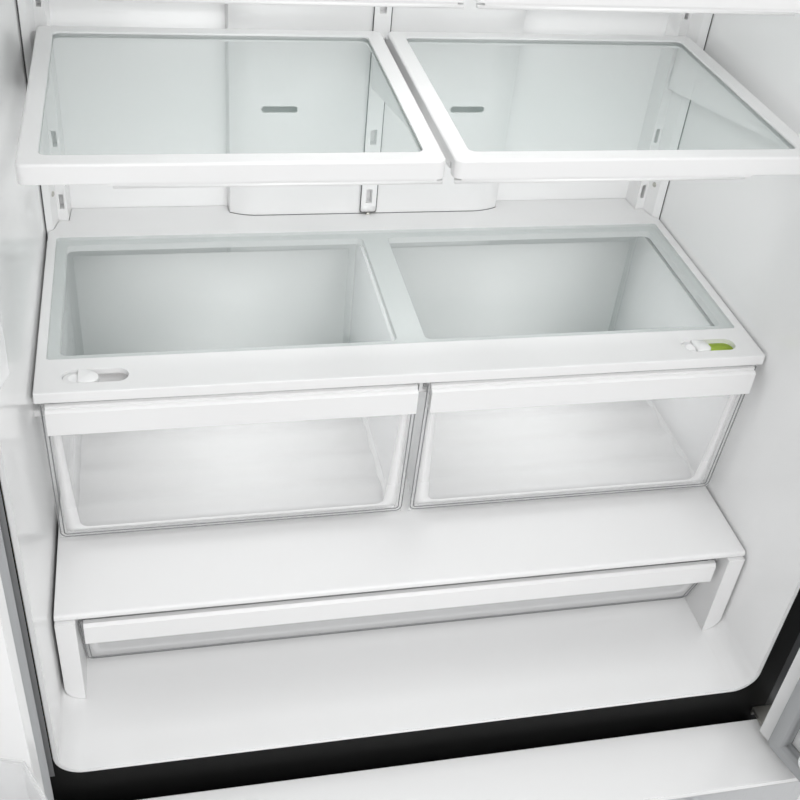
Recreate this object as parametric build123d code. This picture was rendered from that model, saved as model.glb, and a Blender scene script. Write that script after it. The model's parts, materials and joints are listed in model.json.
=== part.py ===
from build123d import *
import math
import os

# A counter-depth refrigerator: two doors over one freezer drawer, standing open.
# Sizes are in millimetres. X is 0 at the middle of the cabinet, Y is 0 at the front
# flange and grows towards the back, and Z is 0 on the floor. The doors are drawn shut
# and are turned to their open rest angle at the end.

# Clearances
seam = 0.3
bond_gap = 0.2
slide_gap = 0.5
pin_play = 0.05

# Cabinet, from the floor up
ground_gap = 48
floor_insulation = 82
freezer_height = 510
divider_height = 98
fresh_height = 970
top_insulation = 41
side_insulation = 51
back_insulation = 50
sheet = 1.2
frame_sheet = 1.5
return_width = 18
base_height = 30

# Fresh-food liner
fresh_width = 806
fresh_depth = 569
liner_wall = 2.5
liner_corner = 25
liner_back_corner = 18
rim_width = 5.5
rim_depth = 6
rim_proud = 0.2
rail_width = 12.5
rail_thickness = 8
ledge_width = 10
ledge_thickness = 8

# Freezer liner and its machine compartment
freezer_inset = 8
freezer_back_step = 9
step_height = 200
step_depth = 320
freezer_corner = 15
machine_roof_insulation = 45
machine_depth = 249

# Crisper cover, pans and their bars
cover_level = 362
cover_thickness = 13
cover_front = 188
cover_side_gap = 3
cover_glass_front = 245
cover_glass_back_gap = 73
cover_glass_thickness = 4
cover_glass_edge = 10
cover_band = 12
cover_middle = 16
cover_round = 1.5
cover_window_corner = 8
slider_recess_length = 66
slider_recess_width = 22
slider_recess_depth = 6
slider_recess_inset = 59.5
slider_recess_y = 214
slider_length = 36
slider_height = 5
slider_inset = 0.4
slider_ridge_height = 3
pan_rim_height = 13.7
pan_rim_thickness = 3
pan_height = 188.3
pan_wall = 2.8
pan_flange = 8
pan_middle_gap = 4
pan_back_gap = 8
pan_front_lean = 11
pan_corner = 8
pan_ribs = 7
pan_rib_height = 2
pan_bar_height = 32
pan_bar_drop = 3
pan_bar_stand = 8
pan_setback = 3
pan_panel_gap = 4
pan_rib_width = 12
pan_bar_inset = 5.5
hanger_web = 4
hanger_foot = 18
hanger_foot_thickness = 4
hanger_inset = 12

# Pantry pan below the crispers
pantry_front = 95
pantry_cover_thickness = 8.7
pantry_support_height = 128
pantry_support_width = 21
deli_height = 107
deli_lean = 35
deli_back_gap = 59
deli_side_gap = 1
deli_bar_height = 30
deli_bar_depth = 8
deli_bar_step = 4
deli_setback = 15
deli_corner = 12

# Air tower and shelf rails
tower_half_width = 180
tower_depth = 28
tower_start = 167
tower_head_gap = 18
tower_wall = 2.5
tower_bend = 38
tower_vent_rows = 3
tower_vent_inset = 62
tower_vent_length = 44
rail_stand_off = 31
rail_half_width = 10
rail_depth = 15
rail_gap = 0.6
rail_head_gap = 58
corner_rail_width = 28
slot_pitch = 82
slot_count = 7
slot_lift = 16
slot_height = 19.5
slot_depth = 12
slot_width = 5.2
middle_slot_width = 8
corner_slot_inset = 20
corner_rail_flank = 28

# Shelves
shelf_slots = [2, 4]
shelf_lift = 46
shelf_front = 191
shelf_back_gap = 8
shelf_wall_gap = 16
shelf_inner_x = 4
shelf_bar_height = 19
shelf_band_height = 9
shelf_band = 18
shelf_bar_width = 19
shelf_lip = 3
shelf_lip_inset = 72
shelf_corner = 8
shelf_round = 2.5
shelf_glass_thickness = 4
shelf_glass_grip = 5
bracket_thickness = 3
bracket_height = 63
bracket_nose = 8

# Doors and drawer
door_thickness = 84
door_stand_off = 14
door_side_gap = 1.5
door_middle_gap = 5
door_top_gap = 4
door_low_reach = 38
drawer_low_reach = 25
drawer_top_gap = 10
door_round = 7
door_cap = 8
door_sheet = 0.8
dyke_height = 32
dyke_wall_gap = 18
dyke_middle_x = 42
dyke_width = 18
dyke_lean = 9
dyke_margin = 7
recess_depth = 16
recess_corner = 12
gasket_width = 22
gasket_gap = 0.5
gasket_clear = 1
rest_angle = 106
hinge_inset = 15
hinge_y = -42
hinge_pin = 5
hinge_plate = 4
bush_wall = 7
bush_depth = 25
pin_length = 24
hinge_cover_height = 29
hinge_cover_wall = 2.5
hinge_tail = 100
hinge_reach = 40
hinge_nose = 10
hinge_flange = 3

# Door bins
bin_wall = 2.5
bin_reaches = [48, 64, 64]
bin_shoulders = [12, 50, 50]
bin_near_ends = [329, 352, 352]
bin_lifts = [60, 642, 820]
bin_heights = [150, 110, 95]

# Handles
handle_radius = 11
handle_stand = 45
handle_post = 8
handle_x = 55
handle_lift = 150
handle_share = 0.622
drawer_handle_length = 760
drawer_handle_drop = 48
post_inset = 60

# Centre flap on the left door
flap_width = 69
flap_thickness = 16
flap_pivot_x = 34.5
flap_pivot_y = 8
flap_low_gap = 27
flap_high_gap = 28
flap_lug = 14.7
flap_pin = 3

# Freezer baskets and slides
slide_level = 215
slide_height = 45
slide_back_gap = 20
slide_start = 20
slide_wall = 2
slide_step = 10
basket_wall = 3
lower_basket_lift = 10
lower_basket_height = 190
lower_basket_inset = 25
lower_basket_back_gap = 9
upper_basket_head_gap = 40
upper_basket_height = 140
upper_basket_back_gap = 15
upper_basket_inset = 15
basket_flange = 12
basket_corner = 20
basket_slots = 9
basket_slot_width = 24
basket_border = 30

# Machinery
evaporator_gap = 15
evaporator_depth = 55
evaporator_height = 180
evaporator_side_gap = 95
evaporator_lift = 215
evaporator_fins = 31
tube_rows = 4
tube_radius = 4
fin_thickness = 1
fin_margin = 10
plate_thickness = 4
plate_rise = 10
cover_sheet = 3
evaporator_room = 80
cover_slot_lifts = [12, 30]
fan_radius = 45
fan_blades = 5
fan_hub = 14
fan_depth = 16
motor_radius = 18
motor_length = 26
motor_shaft = 3
fan_drop = 60
fan_clear = 2
blade_angle = 32
blade_width = 22
blade_thickness = 2
blade_root = 3
shaft_reach = 9.5
motor_arm = 8
motor_arm_depth = 6
condenser_length = 210
condenser_height = 170
condenser_depth = 130
condenser_x = -130
condenser_fins = 18
shroud_depth = 30
compressor_x = 250
compressor_radius = 75
compressor_height = 165
compressor_plate = 5
compressor_foot = 15
compressor_foot_radius = 10

# Feet and toe grille
roller_radius = 22
roller_width = 22
foot_inset = 54
roller_inset = 59
axle_radius = 5
lug_thickness = 3
leg_y = 40
leg_pad = 20
leg_pad_height = 8
leg_stud = 6
leg_length = 70
lug_half = 15
grille_depth = 12
grille_low = 15
grille_wall = 3
grille_rows = 4
grille_columns = 7

# Round-ended vent slots
vent_height = 8
vent_round = 3.9
grille_spacing = 110
grille_slot_length = 90
cover_slot_spacing = 100
cover_slot_length = 80
louvre_rows = 8
louvre_columns = 3
louvre_start = 40
louvre_pitch = 18
louvre_spacing = 280
louvre_length = 180
gland_inset = 40
gland_drop = 30
gland_radius = 12
gland_stand = 6
cord_radius = 5

# Light and control housing
housing_half_width = 200
housing_front = 80
housing_length = 160
housing_height = 40
housing_corner = 20

# Levels and limits that follow from the sizes above
freezer_floor = ground_gap + floor_insulation
freezer_top = freezer_floor + freezer_height
fresh_floor = freezer_top + divider_height
fresh_top = fresh_floor + fresh_height
cabinet_top = fresh_top + top_insulation
fresh_half = fresh_width / 2
freezer_half = fresh_half - freezer_inset
cabinet_half = fresh_half + side_insulation
cabinet_depth = fresh_depth + back_insulation
frame_half = cabinet_half - return_width - seam
frame_top = cabinet_top - return_width - seam
seal_edge = fresh_half + rim_width + gasket_clear
machine_top = freezer_floor + step_height - machine_roof_insulation
machine_front = cabinet_depth - machine_depth
far = 40

machine_low = ground_gap + frame_sheet + seam
machine_middle = machine_front + machine_depth / 2
freezer_depth = fresh_depth - freezer_back_step
cover_plane = freezer_depth - evaporator_room
evaporator_front = cover_plane + evaporator_gap
evaporator_half = freezer_half - evaporator_side_gap
roller_y = cabinet_depth - roller_inset
roller_x = cabinet_half - foot_inset
leg_x = cabinet_half - foot_inset
hinge_x = cabinet_half - hinge_inset

cover_top = fresh_floor + cover_level
cover_low = cover_top - cover_thickness
cover_half = fresh_half - cover_side_gap
ledge_top = cover_low - seam
cover_glass_back = fresh_depth - cover_glass_back_gap
pan_top = cover_low - pan_rim_height
rail_top = pan_top - pan_rim_thickness - seam
pan_low = pan_top - pan_height
pan_half = cover_half - cover_side_gap - 1
pan_front = cover_front + pan_setback
pan_back = fresh_depth - rail_stand_off - pan_back_gap
slider_recess_x = cover_half - slider_recess_inset

pantry_support_top = fresh_floor + pantry_support_height
pantry_cover_low = pantry_support_top + seam
deli_half = cover_half - pantry_support_width - deli_side_gap
deli_low = fresh_floor + slide_gap
deli_front = pantry_front + deli_setback

rail_front = fresh_depth - rail_stand_off
tower_front = fresh_depth - tower_depth
shelf_back = rail_front - shelf_back_gap
shelf_outer_x = fresh_half - shelf_wall_gap
corner_slot_x = fresh_half - corner_slot_inset
rails_low = cover_low + seam
rails_top = fresh_top - rail_head_gap
first_slot = cover_top + slot_lift
tower_low = fresh_floor + tower_start
tower_height = fresh_top - tower_head_gap - tower_low

door_back = -door_stand_off
door_front = door_back - door_thickness
door_outer = cabinet_half - door_side_gap
door_inner = door_middle_gap / 2
door_top = cabinet_top - door_top_gap
door_floor_gap = fresh_floor - door_low_reach
drawer_floor_gap = freezer_floor - drawer_low_reach
dyke_hinge_x = fresh_half - dyke_wall_gap
handle_low = door_floor_gap + handle_lift
handle_length = (door_top - door_floor_gap) * handle_share
flap_low = fresh_floor + flap_low_gap
flap_length = fresh_height - flap_low_gap - flap_high_gap
drawer_top = door_floor_gap - drawer_top_gap
dyke_low = fresh_floor + dyke_margin
dyke_high = fresh_top - dyke_margin
slides_low = freezer_floor + slide_level
slide_length = cover_plane - slide_start - slide_back_gap
upper_basket_low = freezer_top - upper_basket_head_gap - upper_basket_height
leg_top = leg_pad_height + leg_length


def span(x, y, z):
    """A box between two limits on each axis."""
    middle = [(low + high) / 2 for low, high in (x, y, z)]
    size = [high - low for low, high in (x, y, z)]
    return Pos(*middle) * Box(*size)


def rounded(x, y, z, axis, radius):
    """A box whose edges along one axis are rounded."""
    block = span(x, y, z)
    return fillet(block.edges().filter_by(axis), radius)


def along_x(outline, x):
    """An outline in Y and Z carried along X."""
    face = Pos(x[0], 0, 0) * (Plane.YZ * make_face(Polyline(*outline, close=True)))
    return extrude(face, amount=x[1] - x[0], dir=(1, 0, 0))


def along_z(outline, z):
    """An outline in X and Y carried along Z."""
    face = Pos(0, 0, z[0]) * make_face(Polyline(*outline, close=True))
    return extrude(face, amount=z[1] - z[0], dir=(0, 0, 1))


def rod(start, end, radius):
    """A round bar from one point to another."""
    axis = Vector(*end) - Vector(*start)
    low_end = (Align.CENTER, Align.CENTER, Align.MIN)
    return Plane(origin=start, z_dir=axis) * Cylinder(radius, axis.length, align=low_end)


def mirrored(shape):
    """The same piece on the other side of the cabinet."""
    return mirror(shape, about=Plane.YZ)


def pair(shape):
    """A right-hand piece and its left-hand twin."""
    return [shape, mirrored(shape)]


def turned(shape):
    """A left-hand door piece, swung from shut to its open rest angle."""
    return shape.rotate(Axis((-hinge_x, hinge_y, 0), (0, 0, 1)), -rest_angle)


def vent_slots(count, spacing, length, low, y):
    """A level row of round-ended slots, to be cut through a sheet."""
    cuts = []
    for number in range(count):
        middle = (number - (count - 1) / 2) * spacing
        x = (middle - length / 2, middle + length / 2)
        cuts.append(rounded(x, y, (low, low + vent_height), Axis.Y, vent_round))
    return cuts


# Cabinet

def cabinet_wrapper():
    """The folded steel sides and top, with narrow returns round the front."""
    back = cabinet_depth - frame_sheet - seam
    inside = cabinet_half - sheet
    window = cabinet_half - return_width
    shell = span((-cabinet_half, cabinet_half), (0, back), (ground_gap, cabinet_top))
    shell -= span((-inside, inside), (sheet, back + far), (ground_gap - far, cabinet_top - sheet))
    return shell - span((-window, window), (-far, far), (ground_gap - far, cabinet_top - return_width))


def front_frame():
    """The front flange: a ring round each compartment, with the rail between them."""
    plate = span((-frame_half, frame_half), (0, frame_sheet), (frame_low(), frame_top))
    fresh_edge = rim_width + seam
    x = (-fresh_half - fresh_edge, fresh_half + fresh_edge)
    z = (fresh_floor - fresh_edge, fresh_top + fresh_edge)
    plate -= rounded(x, (-far, far), z, Axis.Y, liner_corner + fresh_edge)
    x = (-freezer_half - fresh_edge, freezer_half + fresh_edge)
    z = (freezer_floor - fresh_edge, freezer_top + fresh_edge)
    return plate - rounded(x, (-far, far), z, Axis.Y, freezer_corner + fresh_edge)


def frame_low():
    """The lower edge of the front flange."""
    return ground_gap + base_height + seam + return_width


def back_panel():
    """The back sheet, stepped forward over and in front of the machine compartment."""
    half = cabinet_half - sheet - seam
    back = cabinet_depth - frame_sheet
    panel = span((-cabinet_half, cabinet_half), (back, cabinet_depth), (machine_top, cabinet_top))
    roof = span((-half, half), (machine_front, back), (machine_top, machine_top + frame_sheet))
    wall_z = (ground_gap + base_height, machine_top)
    wall = span((-half, half), (machine_front, machine_front + frame_sheet), wall_z)
    return panel + roof + wall


def fresh_space(grow, front):
    """The fresh-food space with its rounded corners, grown on every side."""
    half = fresh_half + grow
    z = (fresh_floor - grow, fresh_top + grow)
    block = rounded((-half, half), (front, fresh_depth + grow), z, Axis.Y, liner_corner + grow)
    back = block.faces().sort_by(Axis.Y)[-1]
    return fillet(back.edges(), liner_back_corner + grow)


def freezer_space(grow, front):
    """The freezer space, shallower at the bottom where the machinery stands behind."""
    half = freezer_half + grow
    step = freezer_floor + step_height - grow
    outline = [
        (front, freezer_floor - grow),
        (step_depth + grow, freezer_floor - grow),
        (step_depth + grow, step),
        (freezer_depth + grow, step),
        (freezer_depth + grow, freezer_top + grow),
        (front, freezer_top + grow),
    ]
    block = along_x(outline, (-half, half))
    return fillet(block.edges().filter_by(Axis.Y), freezer_corner + grow)


def liner_rim(half, low, high, corner):
    """The rolled lip round the mouth of a liner."""
    x = (-half - rim_width, half + rim_width)
    z = (low - rim_width, high + rim_width)
    lip = rounded(x, (-rim_proud, rim_depth - rim_proud), z, Axis.Y, corner + rim_width)
    front = lip.faces().sort_by(Axis.Y)[0]
    return fillet(front.edges(), rim_width / 4)


def fresh_food_liner():
    """The moulded tub of the fresh-food space, with its cover ledges and pan rails."""
    tub = fresh_space(liner_wall, 0)
    tub += liner_rim(fresh_half, fresh_floor, fresh_top, liner_corner)
    tub -= fresh_space(0, -far)
    wall = fresh_half + liner_wall / 2
    y = (cover_front + cover_side_gap * 4, fresh_depth - liner_back_corner)
    ledge = span((fresh_half - ledge_width, wall), y, (ledge_top - ledge_thickness, ledge_top))
    rail = span((fresh_half - rail_width, wall), y, (rail_top - rail_thickness, rail_top))
    return tub + pair(ledge) + pair(rail)


def freezer_liner():
    """The moulded tub of the freezer, with a ledge each side for the upper basket."""
    tub = freezer_space(liner_wall, 0)
    tub += liner_rim(freezer_half, freezer_floor, freezer_top, freezer_corner)
    tub -= freezer_space(0, -far)
    wall = freezer_half + liner_wall / 2
    ledge_x = (freezer_half - basket_flange, wall)
    ledge_z = (basket_rail() - rail_thickness, basket_rail())
    ledge = span(ledge_x, (slide_start, cover_plane - slide_start), ledge_z)
    return tub + pair(ledge)


def basket_rail():
    """The level that the upper basket's flanges slide on."""
    return upper_basket_low + upper_basket_height - basket_wall - slide_gap


def cabinet_foam():
    """The foam that fills the walls between the sheet metal and the two liners."""
    half = cabinet_half - sheet - bond_gap
    front = frame_sheet + rim_depth
    back = cabinet_depth - frame_sheet - bond_gap
    low = ground_gap + base_height + bond_gap
    block = span((-half, half), (front, back), (low, cabinet_top - sheet - bond_gap))
    y = (machine_front - bond_gap, cabinet_depth)
    block -= span((-half, half), y, (low, machine_top + frame_sheet + bond_gap))
    block -= span((-half, half), (-far, grille_depth + bond_gap), (low, frame_low()))
    grow = liner_wall + bond_gap
    return block - fresh_space(grow, -far) - freezer_space(grow, -far)


def base_pan():
    """The steel tray under the cabinet, with roller lugs and the nuts of the legs."""
    half = cabinet_half - sheet - seam
    back = cabinet_depth - frame_sheet - seam
    z = (ground_gap, ground_gap + base_height - seam)
    tray = span((-half, half), (grille_depth + seam, back), z)
    inner_z = (ground_gap + frame_sheet, z[1] + far)
    inner_y = (grille_depth + seam + frame_sheet, back - frame_sheet)
    tray -= span((-half + frame_sheet, half - frame_sheet), inner_y, inner_z)
    nut = rod((leg_x, leg_y, ground_gap), (leg_x, leg_y, ground_gap + base_height - 2), leg_stud * 2)
    tray += pair(nut)
    for side in (-1, 1):
        middle = roller_x + side * (roller_width / 2 + slide_gap + lug_thickness / 2)
        lug_x = (middle - lug_thickness / 2, middle + lug_thickness / 2)
        lug_z = (roller_radius - axle_radius * 2, ground_gap + frame_sheet)
        tray += pair(span(lug_x, (roller_y - lug_half, roller_y + lug_half), lug_z))
    bore = rod((leg_x, leg_y, 0), (leg_x, leg_y, freezer_floor), leg_stud + pin_play)
    axle_hole = roller_axle(far, axle_radius + pin_play)
    return tray - pair(bore) - pair(axle_hole)


def roller_axle(reach, radius):
    """A rod through the middle of the right-hand rear wheel."""
    left = (roller_x - reach, roller_y, roller_radius)
    right = (roller_x + reach, roller_y, roller_radius)
    return rod(left, right, radius)


def rear_cover():
    """The louvred sheet that closes the machine compartment, with the cord's gland."""
    z = (ground_gap + base_height / 2, machine_top - seam)
    y = (cabinet_depth - frame_sheet, cabinet_depth)
    cover = span((-cabinet_half, cabinet_half), y, z)
    for row in range(louvre_rows):
        low = z[0] + louvre_start + row * louvre_pitch
        cover -= vent_slots(louvre_columns, louvre_spacing, louvre_length, low, (y[0] - 1, y[1] + 1))
    gland_x = cabinet_half - gland_inset
    gland_z = z[1] - gland_drop
    gland = rod((gland_x, y[1], gland_z), (gland_x, y[1] + gland_stand, gland_z), gland_radius)
    hole = rod((gland_x, y[0] - 1, gland_z), (gland_x, y[1] + far, gland_z), cord_radius)
    return cover + gland - hole


def toe_grille():
    """The slotted cover under the drawer."""
    z = (grille_low, frame_low() - seam)
    grille = span((-frame_half, frame_half), (0, grille_depth), z)
    inner_z = (z[0] + grille_wall, z[1] - grille_wall)
    grille -= span((-frame_half + grille_wall, frame_half - grille_wall), (grille_wall, far), inner_z)
    pitch = (inner_z[1] - inner_z[0]) / (grille_rows + 1)
    for row in range(grille_rows):
        low = inner_z[0] + pitch * (row + 1) - vent_height / 2
        grille -= vent_slots(grille_columns, grille_spacing, grille_slot_length, low, (-1, grille_wall + 1))
    return grille


# Machinery

def fan(place):
    """A bladed fan: a hub bored for its motor shaft, and pitched blades."""
    rotor = Cylinder(fan_hub, fan_depth)
    blade_length = fan_radius - fan_hub + blade_root
    blade = Rot(blade_angle, 0, 0) * Box(blade_length, blade_width, blade_thickness)
    blade = Pos(fan_hub - blade_root + blade_length / 2, 0, 0) * blade
    for turn in range(fan_blades):
        rotor += Rot(0, 0, turn * 360 / fan_blades) * blade
    back = -fan_depth / 2
    rotor -= rod((0, 0, back - far), (0, 0, back + shaft_reach + seam), motor_shaft + pin_play)
    return place * rotor


def motor(place):
    """A motor behind a fan: its can, the shaft that enters the hub, and its arm."""
    can_front = -fan_depth / 2 - fan_clear
    can_back = can_front - motor_length
    can = rod((0, 0, can_back), (0, 0, can_front), motor_radius)
    shaft = rod((0, 0, can_front - 1), (0, 0, -fan_depth / 2 + shaft_reach), motor_shaft)
    arm_half = fan_radius + motor_arm * 1.5
    arm = span((-arm_half, arm_half), (-motor_arm / 2, motor_arm / 2), (can_back, can_back + motor_arm_depth))
    return place * (can + shaft + arm)


def evaporator_fan_place():
    """The middle of the freezer's fan, which blows forward."""
    centre = (0, cover_plane + cover_sheet + fan_clear + fan_depth / 2, freezer_top - fan_drop)
    return Plane(origin=centre, x_dir=(1, 0, 0), z_dir=(0, -1, 0))


def evaporator_cover():
    """The freezer's back panel, with its fan opening and the fan's motor behind it."""
    half = freezer_half - slide_gap
    z = (freezer_floor + step_height + slide_gap, freezer_top - slide_gap)
    panel = span((-half, half), (cover_plane, cover_plane + cover_sheet), z)
    panel = fillet(panel.edges().filter_by(Axis.Y), freezer_corner)
    x, y, level = evaporator_fan_place().origin
    panel -= rod((x, 0, level), (x, freezer_depth, level), fan_radius + fan_clear)
    back = y + fan_depth / 2 + fan_clear + motor_length
    for side in (-1, 1):
        post_x = side * (fan_radius + motor_arm)
        x = (post_x - motor_arm / 2, post_x + motor_arm / 2)
        panel += span(x, (cover_plane, back), (level - motor_arm / 2, level + motor_arm / 2))
    y = (cover_plane - 1, cover_plane + cover_sheet + 1)
    for lift in cover_slot_lifts:
        panel -= vent_slots(grille_columns, cover_slot_spacing, cover_slot_length, z[0] + lift, y)
    return panel + motor(evaporator_fan_place())


def evaporator():
    """The freezer's cooling coil: fins on tubes, between two end plates."""
    low = freezer_floor + evaporator_lift
    high = low + evaporator_height
    y = (evaporator_front, evaporator_front + evaporator_depth)
    coil = fins_on_tubes((-evaporator_half, evaporator_half), y, (low, high), evaporator_fins)
    bracket_y = (y[0], freezer_depth - seam)
    for side in (-1, 1):
        plate_x = side * (evaporator_half - plate_thickness)
        x = (plate_x - plate_thickness / 2, plate_x + plate_thickness / 2)
        coil += span(x, bracket_y, (low - plate_rise, high + plate_rise))
    return coil


def fins_on_tubes(x, y, z, fins):
    """Level tubes along X, in two columns, with evenly spaced fins across them."""
    coil = None
    for row in range(tube_rows):
        level = z[0] + (z[1] - z[0]) * (row + 0.5) / tube_rows
        for share in (0.25, 0.75):
            tube_y = y[0] + (y[1] - y[0]) * share
            tube = rod((x[0], tube_y, level), (x[1], tube_y, level), tube_radius)
            coil = tube if coil is None else coil + tube
    pitch = (x[1] - x[0] - 2 * fin_margin) / (fins - 1)
    for number in range(fins):
        middle = x[0] + fin_margin + pitch * number
        coil += span((middle - fin_thickness / 2, middle + fin_thickness / 2), y, z)
    return coil


def compressor():
    """The sealed compressor on its foot plate, with rubber feet and a stub of tube."""
    low = machine_low
    plate_low = low + compressor_foot
    shell = Cylinder(compressor_radius, compressor_height)
    shell = fillet(shell.edges(), compressor_radius * 0.45)
    shell = Pos(compressor_x, machine_middle, plate_low + 3 + compressor_height / 2) * shell
    half_x = compressor_radius + compressor_foot
    half_y = half_x * 0.8
    x = (compressor_x - half_x, compressor_x + half_x)
    y = (machine_middle - half_y, machine_middle + half_y)
    body = shell + rounded(x, y, (plate_low, plate_low + compressor_plate), Axis.Z, compressor_foot_radius)
    inset = compressor_foot_radius + 4
    for foot_x in (x[0] + inset, x[1] - inset):
        for foot_y in (y[0] + inset, y[1] - inset):
            body += rod((foot_x, foot_y, low), (foot_x, foot_y, plate_low + 1), compressor_foot_radius)
    stub_z = plate_low + compressor_height / 4
    return body + rod((compressor_x, machine_middle, stub_z), (x[0] - 20, machine_middle, stub_z), tube_radius)


def condenser_fan_place():
    """The middle of the condenser's fan, in its shroud."""
    level = machine_low + condenser_height / 2
    centre = (condenser_x + shroud_depth - fan_depth / 2 - fan_clear, machine_middle, level)
    return Plane(origin=centre, x_dir=(0, 0, 1), z_dir=(-1, 0, 0))


def condenser():
    """The condenser: fins on tubes, the shroud beside them, and the fan motor."""
    low = machine_low
    high = low + condenser_height
    y = (machine_middle - condenser_depth / 2, machine_middle + condenser_depth / 2)
    shroud = span((condenser_x, condenser_x + shroud_depth), y, (low, high))
    x, middle_y, level = condenser_fan_place().origin
    hole_ends = ((condenser_x - 1, middle_y, level), (condenser_x + far, middle_y, level))
    shroud -= rod(*hole_ends, fan_radius + 2 * fan_clear)
    x_coil = (condenser_x - condenser_length, condenser_x + 1)
    shroud += fins_on_tubes(x_coil, y, (low, high), condenser_fins)
    motor_back = x + fan_depth / 2 + fan_clear + motor_length
    for side in (-1, 1):
        post_z = level + side * (fan_radius + motor_arm)
        post_y = (middle_y - motor_arm / 2, middle_y + motor_arm / 2)
        z = (post_z - motor_arm / 2, post_z + motor_arm / 2)
        shroud += span((condenser_x + shroud_depth / 2, motor_back), post_y, z)
    return shroud + motor(condenser_fan_place())


# Fresh-food fittings

def tower_outline():
    """The plan of the air tower: a flat front that curves back to the liner."""
    back = fresh_depth - seam
    shoulder = (tower_half_width - 2, tower_front + tower_bend / 4)
    start = (tower_half_width - tower_bend, tower_front)
    side = Line((tower_half_width, back), shoulder)
    bend = TangentArc(start, shoulder, tangent=(1, 0))
    front = Line(start, (-start[0], start[1]))
    other_bend = mirror(bend, about=Plane.YZ)
    other_side = mirror(side, about=Plane.YZ)
    rear = Line((-tower_half_width, back), (tower_half_width, back))
    return make_face((side + bend + front + other_bend + other_side + rear).edges())


def air_tower():
    """The cold-air duct on the back wall, with the channel of the middle rail."""
    outline = tower_outline()
    tower = extrude(Pos(0, 0, tower_low) * outline, amount=tower_height, dir=(0, 0, 1))
    inner = Pos(0, 0, tower_low + tower_wall) * offset(outline, -tower_wall)
    hollow = extrude(inner, amount=tower_height - 2 * tower_wall, dir=(0, 0, 1))
    tower -= hollow + Pos(0, tower_wall * 1.5, 0) * hollow
    half = rail_half_width + rail_gap
    back = rail_front + rail_depth + seam
    z = (cover_top + seam, rails_top + rail_gap)
    walls_x = (-half - tower_wall, half + tower_wall)
    tower += span(walls_x, (tower_front, back + tower_wall), (z[0] - tower_wall, z[1] + tower_wall))
    tower -= span((-half, half), (tower_front - far, back), z)
    spacing = 2 * (tower_half_width - tower_vent_inset)
    y = (tower_front - 1, tower_front + tower_wall + 1)
    for row in range(tower_vent_rows):
        low = first_slot + slot_pitch * (2 * row + 1.5)
        tower -= vent_slots(2, spacing, tower_vent_length, low, y)
    return tower


def slot_cuts(middle, width):
    """The row of hook slots in one rail."""
    x = (middle - width / 2, middle + width / 2)
    y = (rail_front - far, rail_front + slot_depth)
    cuts = []
    for count in range(slot_count):
        low = first_slot + slot_pitch * count
        cuts.append(span(x, y, (low, low + slot_height)))
    return cuts


def corner_rail_outline():
    """The plan of the right-hand corner rail."""
    wall = fresh_half - seam
    back = fresh_depth - seam
    inner = fresh_half - corner_rail_width
    flank = rail_front - corner_rail_flank
    return [
        (inner, back),
        (inner + 2, rail_front),
        (inner + corner_rail_width / 2, rail_front),
        (inner + corner_rail_width * 0.68, flank + 7),
        (inner + corner_rail_width - 2, flank),
        (wall, flank),
        (wall, back - liner_back_corner),
        (wall - liner_back_corner, back),
    ]


def shelf_rails():
    """The slotted rails: one in each corner and one on the air tower."""
    corner = along_z(corner_rail_outline(), (rails_low, rails_top))
    for cut in slot_cuts(corner_slot_x, slot_width):
        corner -= cut
    y = (rail_front, rail_front + rail_depth)
    z = (cover_top + rail_gap * 6, rails_top)
    middle = span((-rail_half_width, rail_half_width), y, z)
    low_edges = middle.edges().filter_by(Axis.Y).group_by(Axis.Z)[0]
    middle = fillet(low_edges, rail_half_width - 0.1)
    for cut in slot_cuts(0, middle_slot_width):
        middle -= cut
    return pair(corner) + [middle]


def shelf_levels():
    """The underside of each shelf's front bar."""
    return [first_slot + slot_pitch * slot + shelf_lift for slot in shelf_slots]


def shelf_opening(grow, z):
    """The hole in a shelf frame, grown on every side."""
    x = (shelf_inner_x + shelf_band - grow, shelf_outer_x - shelf_band + grow)
    y = (shelf_front + shelf_bar_width - grow, shelf_back - shelf_band + grow)
    return rounded(x, y, z, Axis.Z, shelf_corner)


def shelf_frame(low):
    """The right-hand shelf's rim: a deep front bar, and a groove that grips the glass."""
    top = low + shelf_bar_height
    under = top - shelf_band_height
    x = (shelf_inner_x, shelf_outer_x)
    frame = rounded(x, (shelf_front, shelf_back), (under, top), Axis.Z, shelf_corner)
    frame = fillet(frame.faces().sort_by(Axis.Z)[-1].edges(), shelf_round)
    bar_z = (low, top - shelf_round)
    bar = rounded(x, (shelf_front, shelf_front + shelf_bar_width), bar_z, Axis.Z, shelf_corner)
    lip_y = (shelf_front + 1, shelf_front + 4)
    lip_x = (shelf_inner_x + shelf_corner, shelf_outer_x - shelf_lip_inset)
    lip = span(lip_x, lip_y, (low - shelf_lip, low + 1))
    outer_end = lip.edges().filter_by(Axis.Y).group_by(Axis.Z)[0].sort_by(Axis.X)[-1]
    frame += bar + chamfer(outer_end, shelf_lip * 0.9)
    frame -= shelf_opening(0, (low - far, top + far))
    return frame - shelf_opening(shelf_glass_grip, glass_z(low, seam))


def glass_z(low, grow):
    """The levels of a shelf's glass, grown up and down."""
    middle = low + shelf_bar_height - shelf_band_height / 2
    half = shelf_glass_thickness / 2 + grow
    return (middle - half, middle + half)


def shelf_glass(low):
    """The pane of the right-hand shelf."""
    return shelf_opening(shelf_glass_grip - seam, glass_z(low, 0))


def shelf_arm(low):
    """The side of a shelf bracket, with the tongue that drops into a rail."""
    top = low + shelf_bar_height - shelf_band_height - seam
    front = shelf_front + shelf_bar_width + seam
    back = rail_front - seam
    slot = low - shelf_lift
    return [
        (front, top),
        (front, top - bracket_nose),
        (front + 60, top - bracket_nose - 4),
        (back, top - bracket_height),
        (back, slot + seam),
        (back + slot_depth - 1, slot + seam),
        (back + slot_depth - 1, slot + slot_height - seam),
        (back, slot + slot_height - seam),
        (back, top),
    ]


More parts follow.
